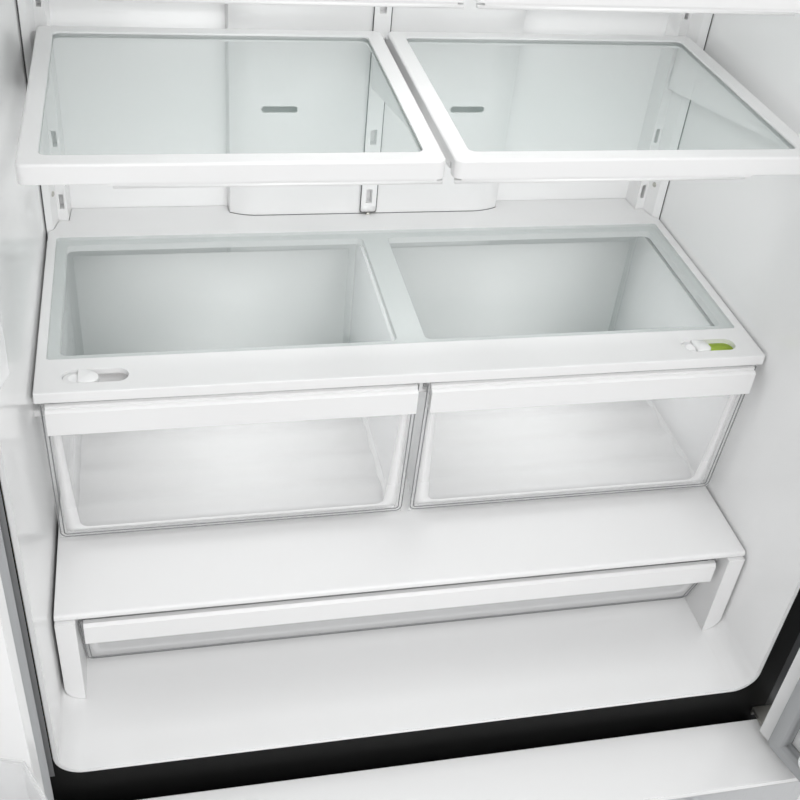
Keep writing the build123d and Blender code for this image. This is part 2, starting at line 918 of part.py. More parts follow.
def shelf_brackets(low):
    """The two steel arms of the right-hand shelf."""
    half = bracket_thickness / 2
    outer = along_x(shelf_arm(low), (corner_slot_x - half, corner_slot_x + half))
    inner_x = (shelf_inner_x + slide_gap, shelf_inner_x + slide_gap + bracket_thickness)
    tongue_right = middle_slot_width / 2 - 2 * seam
    tongue_x = (tongue_right - bracket_thickness + bond_gap, tongue_right)
    below = (low - slot_pitch * 2, low + far)
    arm = along_x(shelf_arm(low), inner_x)
    arm -= span((0, far), (rail_front - seam, fresh_depth), below)
    tongue = along_x(shelf_arm(low), tongue_x)
    tongue -= span((0, far), (0, shelf_back + 1), below)
    joggle_z = (low - shelf_lift + seam, low - shelf_lift + slot_height - seam)
    joggle = span((tongue_x[0], inner_x[1]), (shelf_back + 1, rail_front - seam), joggle_z)
    return [outer, arm + tongue + joggle]


def glass_pocket(grow):
    """The rounded pocket for the crisper cover's pane."""
    half = cover_half - cover_glass_edge + grow
    y = (cover_glass_front - grow, cover_glass_back + grow)
    z = (cover_top - cover_glass_thickness - 2 * seam - grow, cover_top + far)
    return rounded((-half, half), y, z, Axis.Z, 4)


def slider_recess(grow, z):
    """The oval recess of one humidity slider, at the right-hand side."""
    half_x = slider_recess_length / 2 + grow
    half_y = slider_recess_width / 2 + grow
    x = (slider_recess_x - half_x, slider_recess_x + half_x)
    y = (slider_recess_y - half_y, slider_recess_y + half_y)
    return rounded(x, y, z, Axis.Z, half_y - 0.05)


def crisper_cover():
    """The white frame over the crispers, notched at the back, with the pan hanger."""
    y = (cover_front, fresh_depth - 1)
    frame = span((-cover_half, cover_half), y, (cover_low, cover_top))
    front_edges = frame.edges().filter_by(Axis.X).group_by(Axis.Y)[0]
    frame = fillet(front_edges, cover_round)
    frame -= glass_pocket(0)
    z = (cover_low - far, cover_top + far)
    x = (cover_middle, cover_half - cover_glass_edge - cover_band)
    y = (cover_glass_front + cover_band, cover_glass_back - cover_band)
    frame -= pair(rounded(x, y, z, Axis.Z, cover_window_corner))
    frame -= pair(slider_recess(0, (cover_top - slider_recess_depth, cover_top + far)))
    frame -= pair(cover_notch(make_face(Polyline(*corner_rail_outline(), close=True))))
    frame -= cover_notch(tower_outline())
    frame -= pair(span((fresh_half - liner_back_corner, fresh_half), (rail_front, fresh_depth), z))
    foot_z = (rail_top - hanger_foot_thickness, rail_top)
    hanger_y = (cover_front + hanger_inset, fresh_depth - 3 * liner_back_corner)
    web = span((-hanger_web / 2, hanger_web / 2), hanger_y, (foot_z[0], cover_low))
    return frame + web + span((-hanger_foot / 2, hanger_foot / 2), hanger_y, foot_z)


def cover_notch(outline):
    """The room that a rail or the air tower takes out of the crisper cover."""
    grown = Pos(0, 0, cover_low - far) * offset(outline, 1)
    return extrude(grown, amount=2 * far, dir=(0, 0, 1))


def crisper_cover_glass():
    """The pane that lies in the crisper cover."""
    z = (cover_low, cover_top - seam)
    return glass_pocket(-seam) & span((-fresh_half, fresh_half), (0, fresh_depth), z)


def humidity_slider():
    """A slider knob for the right-hand recess, at the left end of its travel."""
    left = slider_recess_x - slider_recess_length / 2 + slider_inset
    half = slider_recess_width / 2 - slider_inset
    y = (slider_recess_y - half, slider_recess_y + half)
    floor = cover_top - slider_recess_depth + seam
    top = floor + slider_height
    knob = rounded((left, left + slider_length), y, (floor, top), Axis.Z, half - pin_play)
    ridge_x = (left + slider_length * 0.55, left + slider_length * 0.62)
    return knob + span(ridge_x, (y[0] + 4, y[1] - 4), (floor, top + slider_ridge_height))


def crisper_pan():
    """The right-hand clear pan: sloped front, side flanges and a ribbed floor."""
    front = pan_front
    back = pan_back
    low_front = front + pan_front_lean
    body_x = (cover_side_gap * 4, pan_half - pan_flange)
    body = span(body_x, (low_front, back), (pan_low, pan_top))
    body = fillet(body.edges().filter_by(Axis.Y).group_by(Axis.Z)[0], pan_corner)
    panel_top = cover_low - pan_panel_gap
    outline = [
        (front, panel_top),
        (low_front, pan_low),
        (low_front + pan_wall, pan_low),
        (front + pan_wall, panel_top),
    ]
    panel = along_x(outline, (pan_middle_gap + 1, pan_half))
    fill = [
        (front + 1, pan_top),
        (low_front + 1, pan_low + 1),
        (low_front + far, pan_low + 1),
        (low_front + far, pan_top),
    ]
    body += along_x(fill, body_x)
    flange_y = (front + pan_wall + pan_flange + 1, back)
    body += span((pan_middle_gap, pan_half), flange_y, (pan_top - pan_rim_thickness, pan_top))
    inner_x = (body_x[0] + pan_wall, body_x[1] - pan_wall)
    hollow = span(inner_x, (low_front + pan_wall, back - pan_wall), (pan_low + pan_wall, pan_top + far))
    hollow = fillet(hollow.edges().filter_by(Axis.Y).group_by(Axis.Z)[0], pan_corner - pan_wall)
    wedge = [
        (front + pan_wall, pan_top + far / 4),
        (front + pan_wall, pan_top),
        (low_front + pan_wall, pan_low + pan_wall),
        (low_front + far, pan_low + pan_wall),
        (low_front + far, pan_top + far / 4),
    ]
    wedge = along_x(wedge, inner_x) - span(inner_x, (0, fresh_depth), (pan_low, pan_low + pan_corner))
    pan = body - (hollow + wedge) + panel
    rib_start = low_front + 2 * pan_rib_width
    pitch = (back - 2 * pan_rib_width - rib_start) / (pan_ribs - 1)
    rib_x = (inner_x[0] + pan_corner, inner_x[1] - pan_corner)
    for count in range(pan_ribs):
        middle = rib_start + pitch * count
        rib_y = (middle - pan_rib_width / 2, middle + pan_rib_width / 2)
        rib = span(rib_x, rib_y, (pan_low + 1, pan_low + pan_wall + pan_rib_height))
        pan += fillet(rib.edges().filter_by(Axis.X).group_by(Axis.Z)[-1], pan_rib_height * 0.9)
    return pan


def crisper_bar():
    """The white bar across the front of the right-hand pan."""
    front = cover_front - pan_bar_stand
    high = cover_low - pan_bar_drop
    low = high - pan_bar_height
    back = pan_front - seam
    outline = [
        (front, low),
        (front, high - 4),
        (front + 3, high - 2),
        (front + 6, high - 2),
        (front + 6, high + 1),
        (back, high + 1),
        (back, low),
    ]
    return along_x(outline, (pan_middle_gap - 2 + pan_bar_inset, pan_half - pan_bar_inset))


def pantry_cover():
    """The white plate over the pantry pan."""
    z = (pantry_cover_low, pantry_cover_low + pantry_cover_thickness)
    plate = span((-cover_half, cover_half), (pantry_front, fresh_depth - liner_back_corner), z)
    return fillet(plate.edges().filter_by(Axis.X).group_by(Axis.Y)[0], pantry_cover_thickness * 0.4)


def pantry_supports():
    """The two side pieces that hold the pantry cover up."""
    x = (cover_half - pantry_support_width, cover_half)
    y = (pantry_front - deli_bar_step, fresh_depth - liner_back_corner)
    low = fresh_floor + seam
    block = span(x, y, (low, pantry_support_top))
    corner = liner_corner - cover_side_gap
    return pair(block & rounded((-cover_half, cover_half), y, (low, fresh_top), Axis.Y, corner))


def deli_outline(inset):
    """The side view of the pantry pan: its front leans, and its foot is rounded."""
    back = fresh_depth - deli_back_gap
    rim = deli_low + deli_height
    top = rim + far if inset else rim
    slope = deli_lean / deli_height
    foot = deli_front + deli_lean - slope * inset
    return [
        (deli_front + inset - slope * (top - rim), top),
        (foot + inset, deli_low + inset),
        (back - inset, deli_low + inset),
        (back - inset, top),
    ]


def deli_pan():
    """The wide clear pan on the compartment floor."""
    outer = along_x(deli_outline(0), (-deli_half, deli_half))
    low_x = outer.edges().filter_by(Axis.X).group_by(Axis.Z)[0]
    outer = fillet(low_x, deli_corner)
    inner_half = deli_half - pan_wall
    inner = along_x(deli_outline(pan_wall), (-inner_half, inner_half))
    inner = fillet(inner.edges().filter_by(Axis.X).group_by(Axis.Z)[0], deli_corner - pan_wall)
    return outer - inner


def deli_bar():
    """The white bar across the front of the pantry pan."""
    rim = deli_low + deli_height
    top = rim + deli_bar_step
    low = top - deli_bar_height
    back_top = deli_front - seam
    back_low = back_top + deli_lean / deli_height * (rim - low)
    front = back_top - deli_bar_depth
    outline = [
        (front, low),
        (front, top - deli_bar_step),
        (front + 3, top),
        (back_top, top),
        (back_top, rim),
        (back_low, low),
    ]
    half = deli_half - pan_bar_inset
    return along_x(outline, (-half, half))


def control_housing():
    """The light and control housing under the ceiling."""
    z = (fresh_top - seam - housing_height, fresh_top - seam)
    y = (housing_front, housing_front + housing_length)
    x = (-housing_half_width, housing_half_width)
    block = rounded(x, y, z, Axis.Z, housing_corner)
    block = fillet(block.faces().sort_by(Axis.Z)[0].edges(), housing_corner * 0.3)
    inner_x = (x[0] + liner_wall, x[1] - liner_wall)
    inner_y = (y[0] + liner_wall, y[1] - liner_wall)
    hollow_z = (z[0] + liner_wall * 3, z[1] + far)
    return block - rounded(inner_x, inner_y, hollow_z, Axis.Z, housing_corner - liner_wall)


# Hinges

def top_hinge():
    """A right-hand top hinge: a plate on the cabinet and a pin down into the door."""
    low = cabinet_top + seam
    x = (hinge_x - hinge_reach, hinge_x + hinge_nose)
    plate = rounded(x, (hinge_y - hinge_nose, hinge_tail), (low, low + hinge_plate), Axis.Z, 8)
    pin_low = low - pin_length
    return plate + rod((hinge_x, hinge_y, pin_low), (hinge_x, hinge_y, low + 1), hinge_pin)


def bottom_hinge():
    """A right-hand lower hinge: a plate on the centre rail and a pin up into the door."""
    low = drawer_top + 1
    high = low + hinge_plate + 1
    x = (hinge_x - 2 * hinge_nose, hinge_x + hinge_nose)
    plate = rounded(x, (hinge_y - hinge_nose, -seam), (low, high), Axis.Z, 3)
    plate += span(x, (-seam - hinge_flange, -seam), (drawer_top - 2 * hinge_flange, high))
    pin_high = door_floor_gap + bush_depth - 3
    return plate + rod((hinge_x, hinge_y, high - 1), (hinge_x, hinge_y, pin_high), hinge_pin)


def hinge_cover():
    """The plastic cap over the right-hand top hinge."""
    x = (hinge_x - hinge_reach - 8, cabinet_half - 1)
    y = (hinge_y - hinge_nose - 6, hinge_tail + 10)
    z = (cabinet_top + seam, cabinet_top + hinge_cover_height)
    cap = rounded(x, y, z, Axis.Z, 10)
    cap = fillet(cap.faces().sort_by(Axis.Z)[-1].edges(), 5)
    inner_x = (x[0] + hinge_cover_wall, x[1] - hinge_cover_wall)
    inner_y = (y[0] + hinge_cover_wall, y[1] - hinge_cover_wall)
    hollow = rounded(inner_x, inner_y, (z[0] - far, z[1] - hinge_cover_wall), Axis.Z, 7)
    return cap - hollow


# Doors and drawer front, drawn shut, as the left door

def door_shell(x, z, sheet_z):
    """The steel wrap of a door: its front and both sides."""
    y = (door_front, door_back - liner_wall - seam)
    outer = span(x, y, sheet_z)
    outer = fillet(outer.edges().filter_by(Axis.Z).group_by(Axis.Y)[0], door_round)
    inner_x = (x[0] + door_sheet, x[1] - door_sheet)
    inner = span(inner_x, (door_front + door_sheet, far), (sheet_z[0] - far, sheet_z[1] + far))
    inner = fillet(inner.edges().filter_by(Axis.Z).group_by(Axis.Y)[0], door_round - door_sheet)
    return outer - inner


def skin_levels(z):
    """The levels between the two end caps of a door."""
    return (z[0] + door_cap + seam, z[1] - door_cap - seam)


def end_cap(x, z):
    """A moulded end cap, rounded like the steel wrap."""
    cap = span(x, (door_front, door_back), z)
    return fillet(cap.edges().filter_by(Axis.Z).group_by(Axis.Y)[0], door_round)


def door_core(x, z, recess):
    """The foam of a door, inside its steel wrap and clear of its liner."""
    grow = bond_gap
    core_x = (x[0] + door_sheet + grow, x[1] - door_sheet - grow)
    y = (door_front + door_sheet + grow, door_back - liner_wall - grow)
    core_z = (z[0] + door_cap + grow, z[1] - door_cap - grow)
    core = span(core_x, y, core_z)
    core = fillet(core.edges().filter_by(Axis.Z).group_by(Axis.Y)[0], door_round - door_sheet)
    return core - recess


def inner_panel(x, z, dyke_x, dyke_z):
    """The inner face of a door: a flat border, a raised dyke and a sunken middle."""
    plate = span(x, (door_back - liner_wall, door_back), z)
    width = dyke_x[1] - dyke_x[0]
    height = dyke_z[1] - dyke_z[0]
    middle = ((dyke_x[0] + dyke_x[1]) / 2, door_back - 1, (dyke_z[0] + dyke_z[1]) / 2)
    outline = RectangleRounded(width, height, liner_corner - dyke_margin)
    outline = Plane(origin=middle, x_dir=(1, 0, 0), z_dir=(0, 1, 0)) * outline
    dyke = extrude(outline, amount=dyke_height + 1, taper=dyke_lean)
    inner_x = (dyke_x[0] + dyke_width, dyke_x[1] - dyke_width)
    inner_z = (dyke_z[0] + dyke_width, dyke_z[1] - dyke_width)
    floor = door_back - recess_depth
    tray_x = (inner_x[0] - liner_wall, inner_x[1] + liner_wall)
    tray_z = (inner_z[0] - liner_wall, inner_z[1] + liner_wall)
    tray = rounded(tray_x, (floor, door_back), tray_z, Axis.Y, recess_corner)
    hollow_y = (floor + liner_wall, dyke_height + far)
    hollow = rounded(inner_x, hollow_y, inner_z, Axis.Y, recess_corner - 2)
    return plate + dyke + tray - hollow


def panel_recess(dyke_x, dyke_z):
    """The room that a sunken inner panel takes out of the foam."""
    grow = liner_wall + bond_gap - dyke_width
    x = (dyke_x[0] - grow, dyke_x[1] + grow)
    z = (dyke_z[0] - grow, dyke_z[1] + grow)
    return span(x, (door_back - recess_depth - bond_gap, far), z)


def gasket(outer_x, outer_z):
    """The magnetic seal round the inner face of a door."""
    y = (door_back + seam, -gasket_gap)
    ring = rounded(outer_x, y, outer_z, Axis.Y, 8)
    inner_x = (outer_x[0] + gasket_width, outer_x[1] - gasket_width)
    inner_z = (outer_z[0] + gasket_width, outer_z[1] - gasket_width)
    return ring - rounded(inner_x, (-far, far), inner_z, Axis.Y, 5)


def bar_handle(start, end, posts):
    """A round bar on two posts, in front of a door."""
    bar = rod(start, end, handle_radius)
    bar = fillet(bar.edges().filter_by(GeomType.CIRCLE), 2)
    for post in posts:
        foot = (post[0], door_front - seam, post[2])
        bar += rod(foot, post, handle_post)
    return bar


door_x = (-door_outer, -door_inner)
door_z = (door_floor_gap, door_top)
door_dyke_x = (-dyke_hinge_x, -dyke_middle_x)
door_dyke_z = (dyke_low, dyke_high)
drawer_x = (-door_outer, door_outer)
drawer_z = (drawer_floor_gap, drawer_top)
drawer_dyke_x = (-freezer_half + dyke_margin, freezer_half - dyke_margin)
drawer_dyke_z = (freezer_floor + dyke_margin, freezer_top - dyke_margin)


def hinge_bosses(grow):
    """The blocks in a door's end caps that hold its hinge bushes."""
    return hinge_line(0, bush_depth + grow, hinge_pin + bush_wall + grow)


def hinge_bores():
    """The bush holes in both end caps."""
    return hinge_line(1, bush_depth - 2, hinge_pin + pin_play)


def hinge_line(past, depth, radius):
    """A rod into each end of a door on the hinge line, starting a little past its end."""
    low_ends = ((-hinge_x, hinge_y, door_floor_gap - past), (-hinge_x, hinge_y, door_floor_gap + depth))
    high_ends = ((-hinge_x, hinge_y, door_top - depth), (-hinge_x, hinge_y, door_top + past))
    return rod(*low_ends, radius) + rod(*high_ends, radius)


def flap_lugs():
    """The lugs on the left door's liner that hold the flap's pins."""
    half = flap_thickness / 2
    x = (-flap_pivot_x - half, -flap_pivot_x + half)
    y = (door_back - 1, flap_pivot_y + half)
    low = flap_low - seam
    high = flap_low + flap_length + seam
    lugs = span(x, y, (low - flap_lug, low)) + span(x, y, (high, high + flap_lug))
    bore_low = (-flap_pivot_x, flap_pivot_y, low - far)
    bore_high = (-flap_pivot_x, flap_pivot_y, high + far)
    return lugs - rod(bore_low, bore_high, flap_pin + pin_play)


def door_liner(with_flap):
    """The moulded inside of a door, with its end caps, bushes and bin recess."""
    liner = inner_panel(door_x, door_z, door_dyke_x, door_dyke_z)
    liner += end_cap(door_x, (door_floor_gap, door_floor_gap + door_cap))
    liner += end_cap(door_x, (door_top - door_cap, door_top))
    liner += hinge_bosses(0)
    liner -= hinge_bores()
    return liner + flap_lugs() if with_flap else liner


def door_bins():
    """The three bins of a door, held between the sides of its dyke."""
    near = -dyke_hinge_x + dyke_width + seam
    far_side = -dyke_middle_x - dyke_width - seam
    back = door_back - recess_depth + liner_wall + seam
    bins = []
    for count, (lift, height) in enumerate(zip(bin_lifts, bin_heights)):
        low = fresh_floor + lift
        reach = bin_reaches[count]
        outline = [
            (near, back),
            (near, bin_shoulders[count]),
            (-bin_near_ends[count], reach),
            (far_side, reach),
            (far_side, back),
        ]
        face = make_face(Polyline(*outline, close=True))
        solid = extrude(Pos(0, 0, low) * face, amount=height, dir=(0, 0, 1))
        inner = offset(face, -bin_wall)
        solid -= extrude(Pos(0, 0, low + bin_wall) * inner, amount=height, dir=(0, 0, 1))
        bins.append(solid)
    return bins


def door_pieces(with_flap):
    """Every piece of a left-hand door, shut."""
    recess = panel_recess(door_dyke_x, door_dyke_z)
    bar_y = door_front - handle_stand
    handle_high = handle_low + handle_length
    posts = [(-handle_x, bar_y, handle_low + post_inset), (-handle_x, bar_y, handle_high - post_inset)]
    seal_x = (-seal_edge - gasket_width, -door_inner - gasket_clear)
    reach = rim_width + gasket_clear + gasket_width
    seal_z = (fresh_floor - reach, fresh_top + reach)
    return {
        "skin": door_shell(door_x, door_z, skin_levels(door_z)),
        "foam": door_core(door_x, door_z, recess + hinge_bosses(bond_gap)),
        "liner": door_liner(with_flap),
        "gasket": gasket(seal_x, seal_z),
        "handle": bar_handle((-handle_x, bar_y, handle_low), (-handle_x, bar_y, handle_high), posts),
        "bins": door_bins(),
    }


def mullion_flap():
    """The hinged flap that covers the gap between the doors, folded against the left one."""
    half = flap_thickness / 2
    x = (-flap_pivot_x - half, -flap_pivot_x + half)
    z = (flap_low, flap_low + flap_length)
    bar = rounded(x, (flap_pivot_y - half, flap_pivot_y - half + flap_width), z, Axis.Z, 2)
    pin_low = (-flap_pivot_x, flap_pivot_y, flap_low - flap_lug)
    pin_high = (-flap_pivot_x, flap_pivot_y, flap_low + flap_length + flap_lug)
    return bar + rod(pin_low, pin_high, flap_pin)


# Freezer drawer

def drawer_liner():
    """The moulded inside of the drawer front, with its end caps."""
    liner = inner_panel(drawer_x, drawer_z, drawer_dyke_x, drawer_dyke_z)
    cut_y = (door_back, far)
    liner -= span((-fresh_half, fresh_half), cut_y, (drawer_floor_gap, drawer_top))
    liner += end_cap(drawer_x, (drawer_floor_gap, drawer_floor_gap + door_cap))
    return liner + end_cap(drawer_x, (drawer_top - door_cap, drawer_top))


def drawer_handle():
    """The bar handle across the top of the drawer."""
    bar_y = door_front - handle_stand
    level = drawer_top - drawer_handle_drop
    half = drawer_handle_length / 2
    posts = [(-half + post_inset, bar_y, level), (half - post_inset, bar_y, level)]
    return bar_handle((-half, bar_y, level), (half, bar_y, level), posts)


def slide_channel(outer, depth, z, y):
    """One right-hand channel of a telescopic slide, open towards the middle."""
    channel = span((outer - depth, outer), y, z)
    inner_z = (z[0] + slide_wall, z[1] - slide_wall)
    return channel - span((outer - depth - 1, outer - slide_wall), (y[0] - 1, y[1] + 1), inner_z)


def slide_rails_outer():
    """The slide channels fixed to the freezer walls."""
    z = (slides_low, slides_low + slide_height)
    y = (slide_start, slide_start + slide_length)
    return pair(slide_channel(freezer_half - seam, slide_step, z, y))


def slide_rails_middle():
    """The middle channels, which run half as far as the drawer."""
    grow = slide_wall + slide_gap
    z = (slides_low + grow, slides_low + slide_height - grow)
    y = (slide_start + 20, slide_start + slide_length)
    return pair(slide_channel(freezer_half - seam - grow, slide_step + 4, z, y))


def slide_rails_inner():
    """The inner bars, bolted to the drawer front by their feet."""
    grow = 2 * (slide_wall + slide_gap)
    outer = freezer_half - seam - grow
    z = (slides_low + grow, slides_low + slide_height - grow)
    bar_x = (outer - slide_step - 4, outer)
    bar = span(bar_x, (door_back + seam, slide_start + slide_length - 20), z)
    foot_z = (slides_low - 10, slides_low + slide_height + 10)
    foot_x = (bar_x[0] - 20, outer)
    return pair(bar + span(foot_x, (door_back + seam, door_back + seam + 3), foot_z))


def basket(x, y, z):
    """An open basket with slotted sides."""
    tub = rounded(x, y, z, Axis.Z, basket_corner)
    inner_x = (x[0] + basket_wall, x[1] - basket_wall)
    inner_y = (y[0] + basket_wall, y[1] - basket_wall)
    tub -= rounded(inner_x, inner_y, (z[0] + basket_wall, z[1] + far), Axis.Z, basket_corner - basket_wall)
    pitch = (x[1] - x[0] - 4 * basket_corner) / basket_slots
    slot_z = (z[0] + basket_border, z[1] - basket_border)
    for count in range(basket_slots):
        low = x[0] + 2 * basket_corner + pitch * (count + 0.5) - basket_slot_width / 2
        tub -= rounded((low, low + basket_slot_width), (y[0] - 1, y[1] + 1), slot_z, Axis.Y, 8)
    return tub


def lower_basket():
    """The deep basket that rides on the drawer front."""
    half = freezer_half - lower_basket_inset
    low = freezer_floor + lower_basket_lift
    y = (door_back + seam, step_depth - lower_basket_back_gap)
    return basket((-half, half), y, (low, low + lower_basket_height))


def upper_basket():
    """The shallow basket above, on flanges that slide along the liner's ledges."""
    half = freezer_half - upper_basket_inset
    high = upper_basket_low + upper_basket_height
    y = (slide_start - 5, cover_plane - upper_basket_back_gap)
    tub = basket((-half, half), y, (upper_basket_low, high))
    flange = span((half - 1, half + basket_flange - 2), (y[0] + 25, y[1] - 25), (high - basket_wall, high))
    return tub + pair(flange)


# Feet

def rear_rollers():
    """The rear wheels, each on its own axle."""
    half = roller_width / 2
    wheel = roller_axle(half, roller_radius)
    wheel = fillet(wheel.edges().filter_by(GeomType.CIRCLE), 2)
    return pair(wheel + roller_axle(half + slide_gap + lug_thickness + 2, axle_radius))


def levelling_legs():
    """The front legs: a round pad and a stud that turns in the base."""
    pad = rod((leg_x, leg_y, 0), (leg_x, leg_y, leg_pad_height), leg_pad)
    return pair(pad + rod((leg_x, leg_y, leg_pad_height - 1), (leg_x, leg_y, leg_top - 1), leg_stud))


def build():
    """Every node of the refrigerator in its rest pose, in the cabinet's frame."""
    nodes = {
        "cabinet_wrapper": cabinet_wrapper(),
        "front_frame": front_frame(),
        "back_panel": back_panel(),
        "cabinet_foam": cabinet_foam(),
        "fresh_food_liner": fresh_food_liner(),
        "freezer_liner": freezer_liner(),
        "base_pan": base_pan(),
        "rear_cover": rear_cover(),
        "toe_grille": toe_grille(),
        "compressor": compressor(),
        "condenser": condenser(),
        "air_tower": air_tower(),
        "shelf_rails": shelf_rails(),
        "crisper_cover": crisper_cover(),
        "crisper_cover_glass": crisper_cover_glass(),
        "pantry_cover": pantry_cover(),
        "pantry_supports": pantry_supports(),
        "control_housing": control_housing(),
        "evaporator_cover": evaporator_cover(),
        "evaporator": evaporator(),
        "hinge_brackets": pair(top_hinge()) + pair(bottom_hinge()),
        "hinge_covers": pair(hinge_cover()),
        "slide_rails_outer": slide_rails_outer(),
        "slide_rails_middle": slide_rails_middle(),
        "slide_rails_inner": slide_rails_inner(),
        "lower_basket": lower_basket(),
        "upper_basket": upper_basket(),
        "deli_pan": deli_pan(),
        "deli_bar": deli_bar(),
        "right_crisper_pan": crisper_pan(),
        "right_crisper_bar": crisper_bar(),
        "left_crisper_pan": mirrored(crisper_pan()),
        "left_crisper_bar": mirrored(crisper_bar()),
        "right_humidity_slider": humidity_slider(),
        "left_humidity_slider": Pos(-2 * slider_recess_x, 0, 0) * humidity_slider(),
        "condenser_fan": fan(condenser_fan_place()),
        "evaporator_fan": fan(evaporator_fan_place()),
        "rear_rollers": rear_rollers(),
        "levelling_legs": levelling_legs(),
        "drawer_skin": door_shell(drawer_x, drawer_z, skin_levels(drawer_z)),
        "drawer_foam": door_core(drawer_x, drawer_z, panel_recess(drawer_dyke_x, drawer_dyke_z)),
        "drawer_liner": drawer_liner(),
        "drawer_gasket": drawer_gasket(),
        "drawer_handle": drawer_handle(),
    }
    levels = shelf_levels()
    nodes["shelf_frames"] = [piece for low in levels for piece in pair(shelf_frame(low))]
    nodes["shelf_glass"] = [piece for low in levels for piece in pair(shelf_glass(low))]
    nodes["shelf_brackets"] = [twin for low in levels for arm in shelf_brackets(low) for twin in pair(arm)]
    for name, shape in door_pieces(True).items():
        nodes["left_door_" + name] = each(shape, turned)
    for name, shape in door_pieces(False).items():
        nodes["right_door_" + name] = each(shape, lambda piece: mirrored(turned(piece)))
    nodes["mullion_flap"] = turned(mullion_flap())
    return nodes


def drawer_gasket():
    """The seal of the drawer front."""
    reach = rim_width + gasket_clear + gasket_width
    half = seal_edge + gasket_width
    return gasket((-half, half), (freezer_floor - reach, freezer_top + reach))


def each(shape, change):
    """The same change made to one piece or to every piece of a list."""
    return [change(piece) for piece in shape] if isinstance(shape, list) else change(shape)


def as_one(shape, move=(0, 0, 0)):
    """One moved, exportable shape for a node, from one piece or a list of pieces."""
    if isinstance(shape, list):
        return Compound(children=[Pos(*move) * piece for piece in shape])
    return Pos(*move) * shape


def resting_shift(nodes):
    """The move that puts the origin under the middle of the whole object."""
    boxes = [as_one(shape).bounding_box() for shape in nodes.values()]
    low_x = min(box.min.X for box in boxes)
    high_x = max(box.max.X for box in boxes)
    low_y = min(box.min.Y for box in boxes)
    high_y = max(box.max.Y for box in boxes)
    low_z = min(box.min.Z for box in boxes)
    return (-(low_x + high_x) / 2, -(low_y + high_y) / 2, -low_z)


nodes = build()
shift = resting_shift(nodes)
os.makedirs("parts", exist_ok=True)
for name, shape in nodes.items():
    export_step(as_one(shape, shift), "parts/" + name + ".step")
print("nodes", len(nodes), "shift", [round(value, 3) for value in shift])
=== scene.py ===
# %% [markdown]
# # A counter-depth refrigerator, dressed for its picture
#
# The construction comes from CAD as a fixed frame: every sheet, tub, pan, shelf, hinge and
# slide is already in its place, in metres. This lesson gives those pieces their finishes,
# adds the small things that only the eye needs, and sets up the camera and the light.

# %% Load the frame
import json
import math

import bmesh
import bpy
from mathutils import Matrix, Vector


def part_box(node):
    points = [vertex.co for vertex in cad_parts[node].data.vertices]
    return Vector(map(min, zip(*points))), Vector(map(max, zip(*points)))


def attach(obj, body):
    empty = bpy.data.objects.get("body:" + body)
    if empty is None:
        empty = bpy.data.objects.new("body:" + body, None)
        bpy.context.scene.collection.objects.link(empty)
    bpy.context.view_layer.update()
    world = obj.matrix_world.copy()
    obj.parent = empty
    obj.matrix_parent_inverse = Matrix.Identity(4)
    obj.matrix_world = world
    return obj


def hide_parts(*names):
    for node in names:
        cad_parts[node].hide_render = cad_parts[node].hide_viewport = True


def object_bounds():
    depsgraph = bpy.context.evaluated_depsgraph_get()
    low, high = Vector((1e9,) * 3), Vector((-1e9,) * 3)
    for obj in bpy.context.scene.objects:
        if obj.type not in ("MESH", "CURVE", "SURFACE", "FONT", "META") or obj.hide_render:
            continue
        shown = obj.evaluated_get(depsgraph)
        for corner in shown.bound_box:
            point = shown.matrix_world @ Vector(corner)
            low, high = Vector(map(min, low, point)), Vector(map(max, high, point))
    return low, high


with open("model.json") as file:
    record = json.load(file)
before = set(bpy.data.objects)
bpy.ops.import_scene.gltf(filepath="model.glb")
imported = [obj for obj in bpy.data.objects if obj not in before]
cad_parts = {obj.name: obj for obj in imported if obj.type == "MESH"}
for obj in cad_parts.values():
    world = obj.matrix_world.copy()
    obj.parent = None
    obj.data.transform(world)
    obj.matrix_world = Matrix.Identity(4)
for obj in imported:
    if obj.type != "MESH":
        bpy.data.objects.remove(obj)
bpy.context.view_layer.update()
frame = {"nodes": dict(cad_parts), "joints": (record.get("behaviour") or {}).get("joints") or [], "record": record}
nodes = frame["nodes"]

# %% [markdown]
# ## The camera
#
# The photograph looks down into the fresh-food space from a little left of its middle. The
# front edge of the crisper cover is the easiest thing to measure from, so the camera's place
# is written as a distance from the middle of that edge. Yaw, pitch and roll then turn it the
# way a head turns: first to the right, then down, then a slight tilt.

# %% Place the camera
cover_low, cover_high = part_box("crisper_cover")
cover_edge = Vector((0, cover_low.y, cover_high.z))
camera_offset = Vector((-0.2708, -0.8886, 0.6824))
camera_lens = 48.64
yaw, pitch, roll = 0.2697, 0.6605, 0.1104
level_share = math.cos(pitch)
forward = Vector((math.sin(yaw) * level_share, math.cos(yaw) * level_share, -math.sin(pitch)))
level_right = Vector((math.cos(yaw), -math.sin(yaw), 0))
level_up = level_right.cross(forward)
right = math.cos(roll) * level_right + math.sin(roll) * level_up
up = math.cos(roll) * level_up - math.sin(roll) * level_right

camera_data = bpy.data.cameras.new("photo_camera")
camera_data.sensor_width = 36
camera_data.lens = camera_lens
camera = bpy.data.objects.new("photo_camera", camera_data)
camera_turn = Matrix((right, up, -forward)).transposed().to_4x4()
camera.matrix_world = Matrix.Translation(cover_edge + camera_offset) @ camera_turn
camera_data.clip_start = 0.02
bpy.context.scene.collection.objects.link(camera)
bpy.context.scene.camera = camera
print("camera at", [round(value, 3) for value in camera.location])

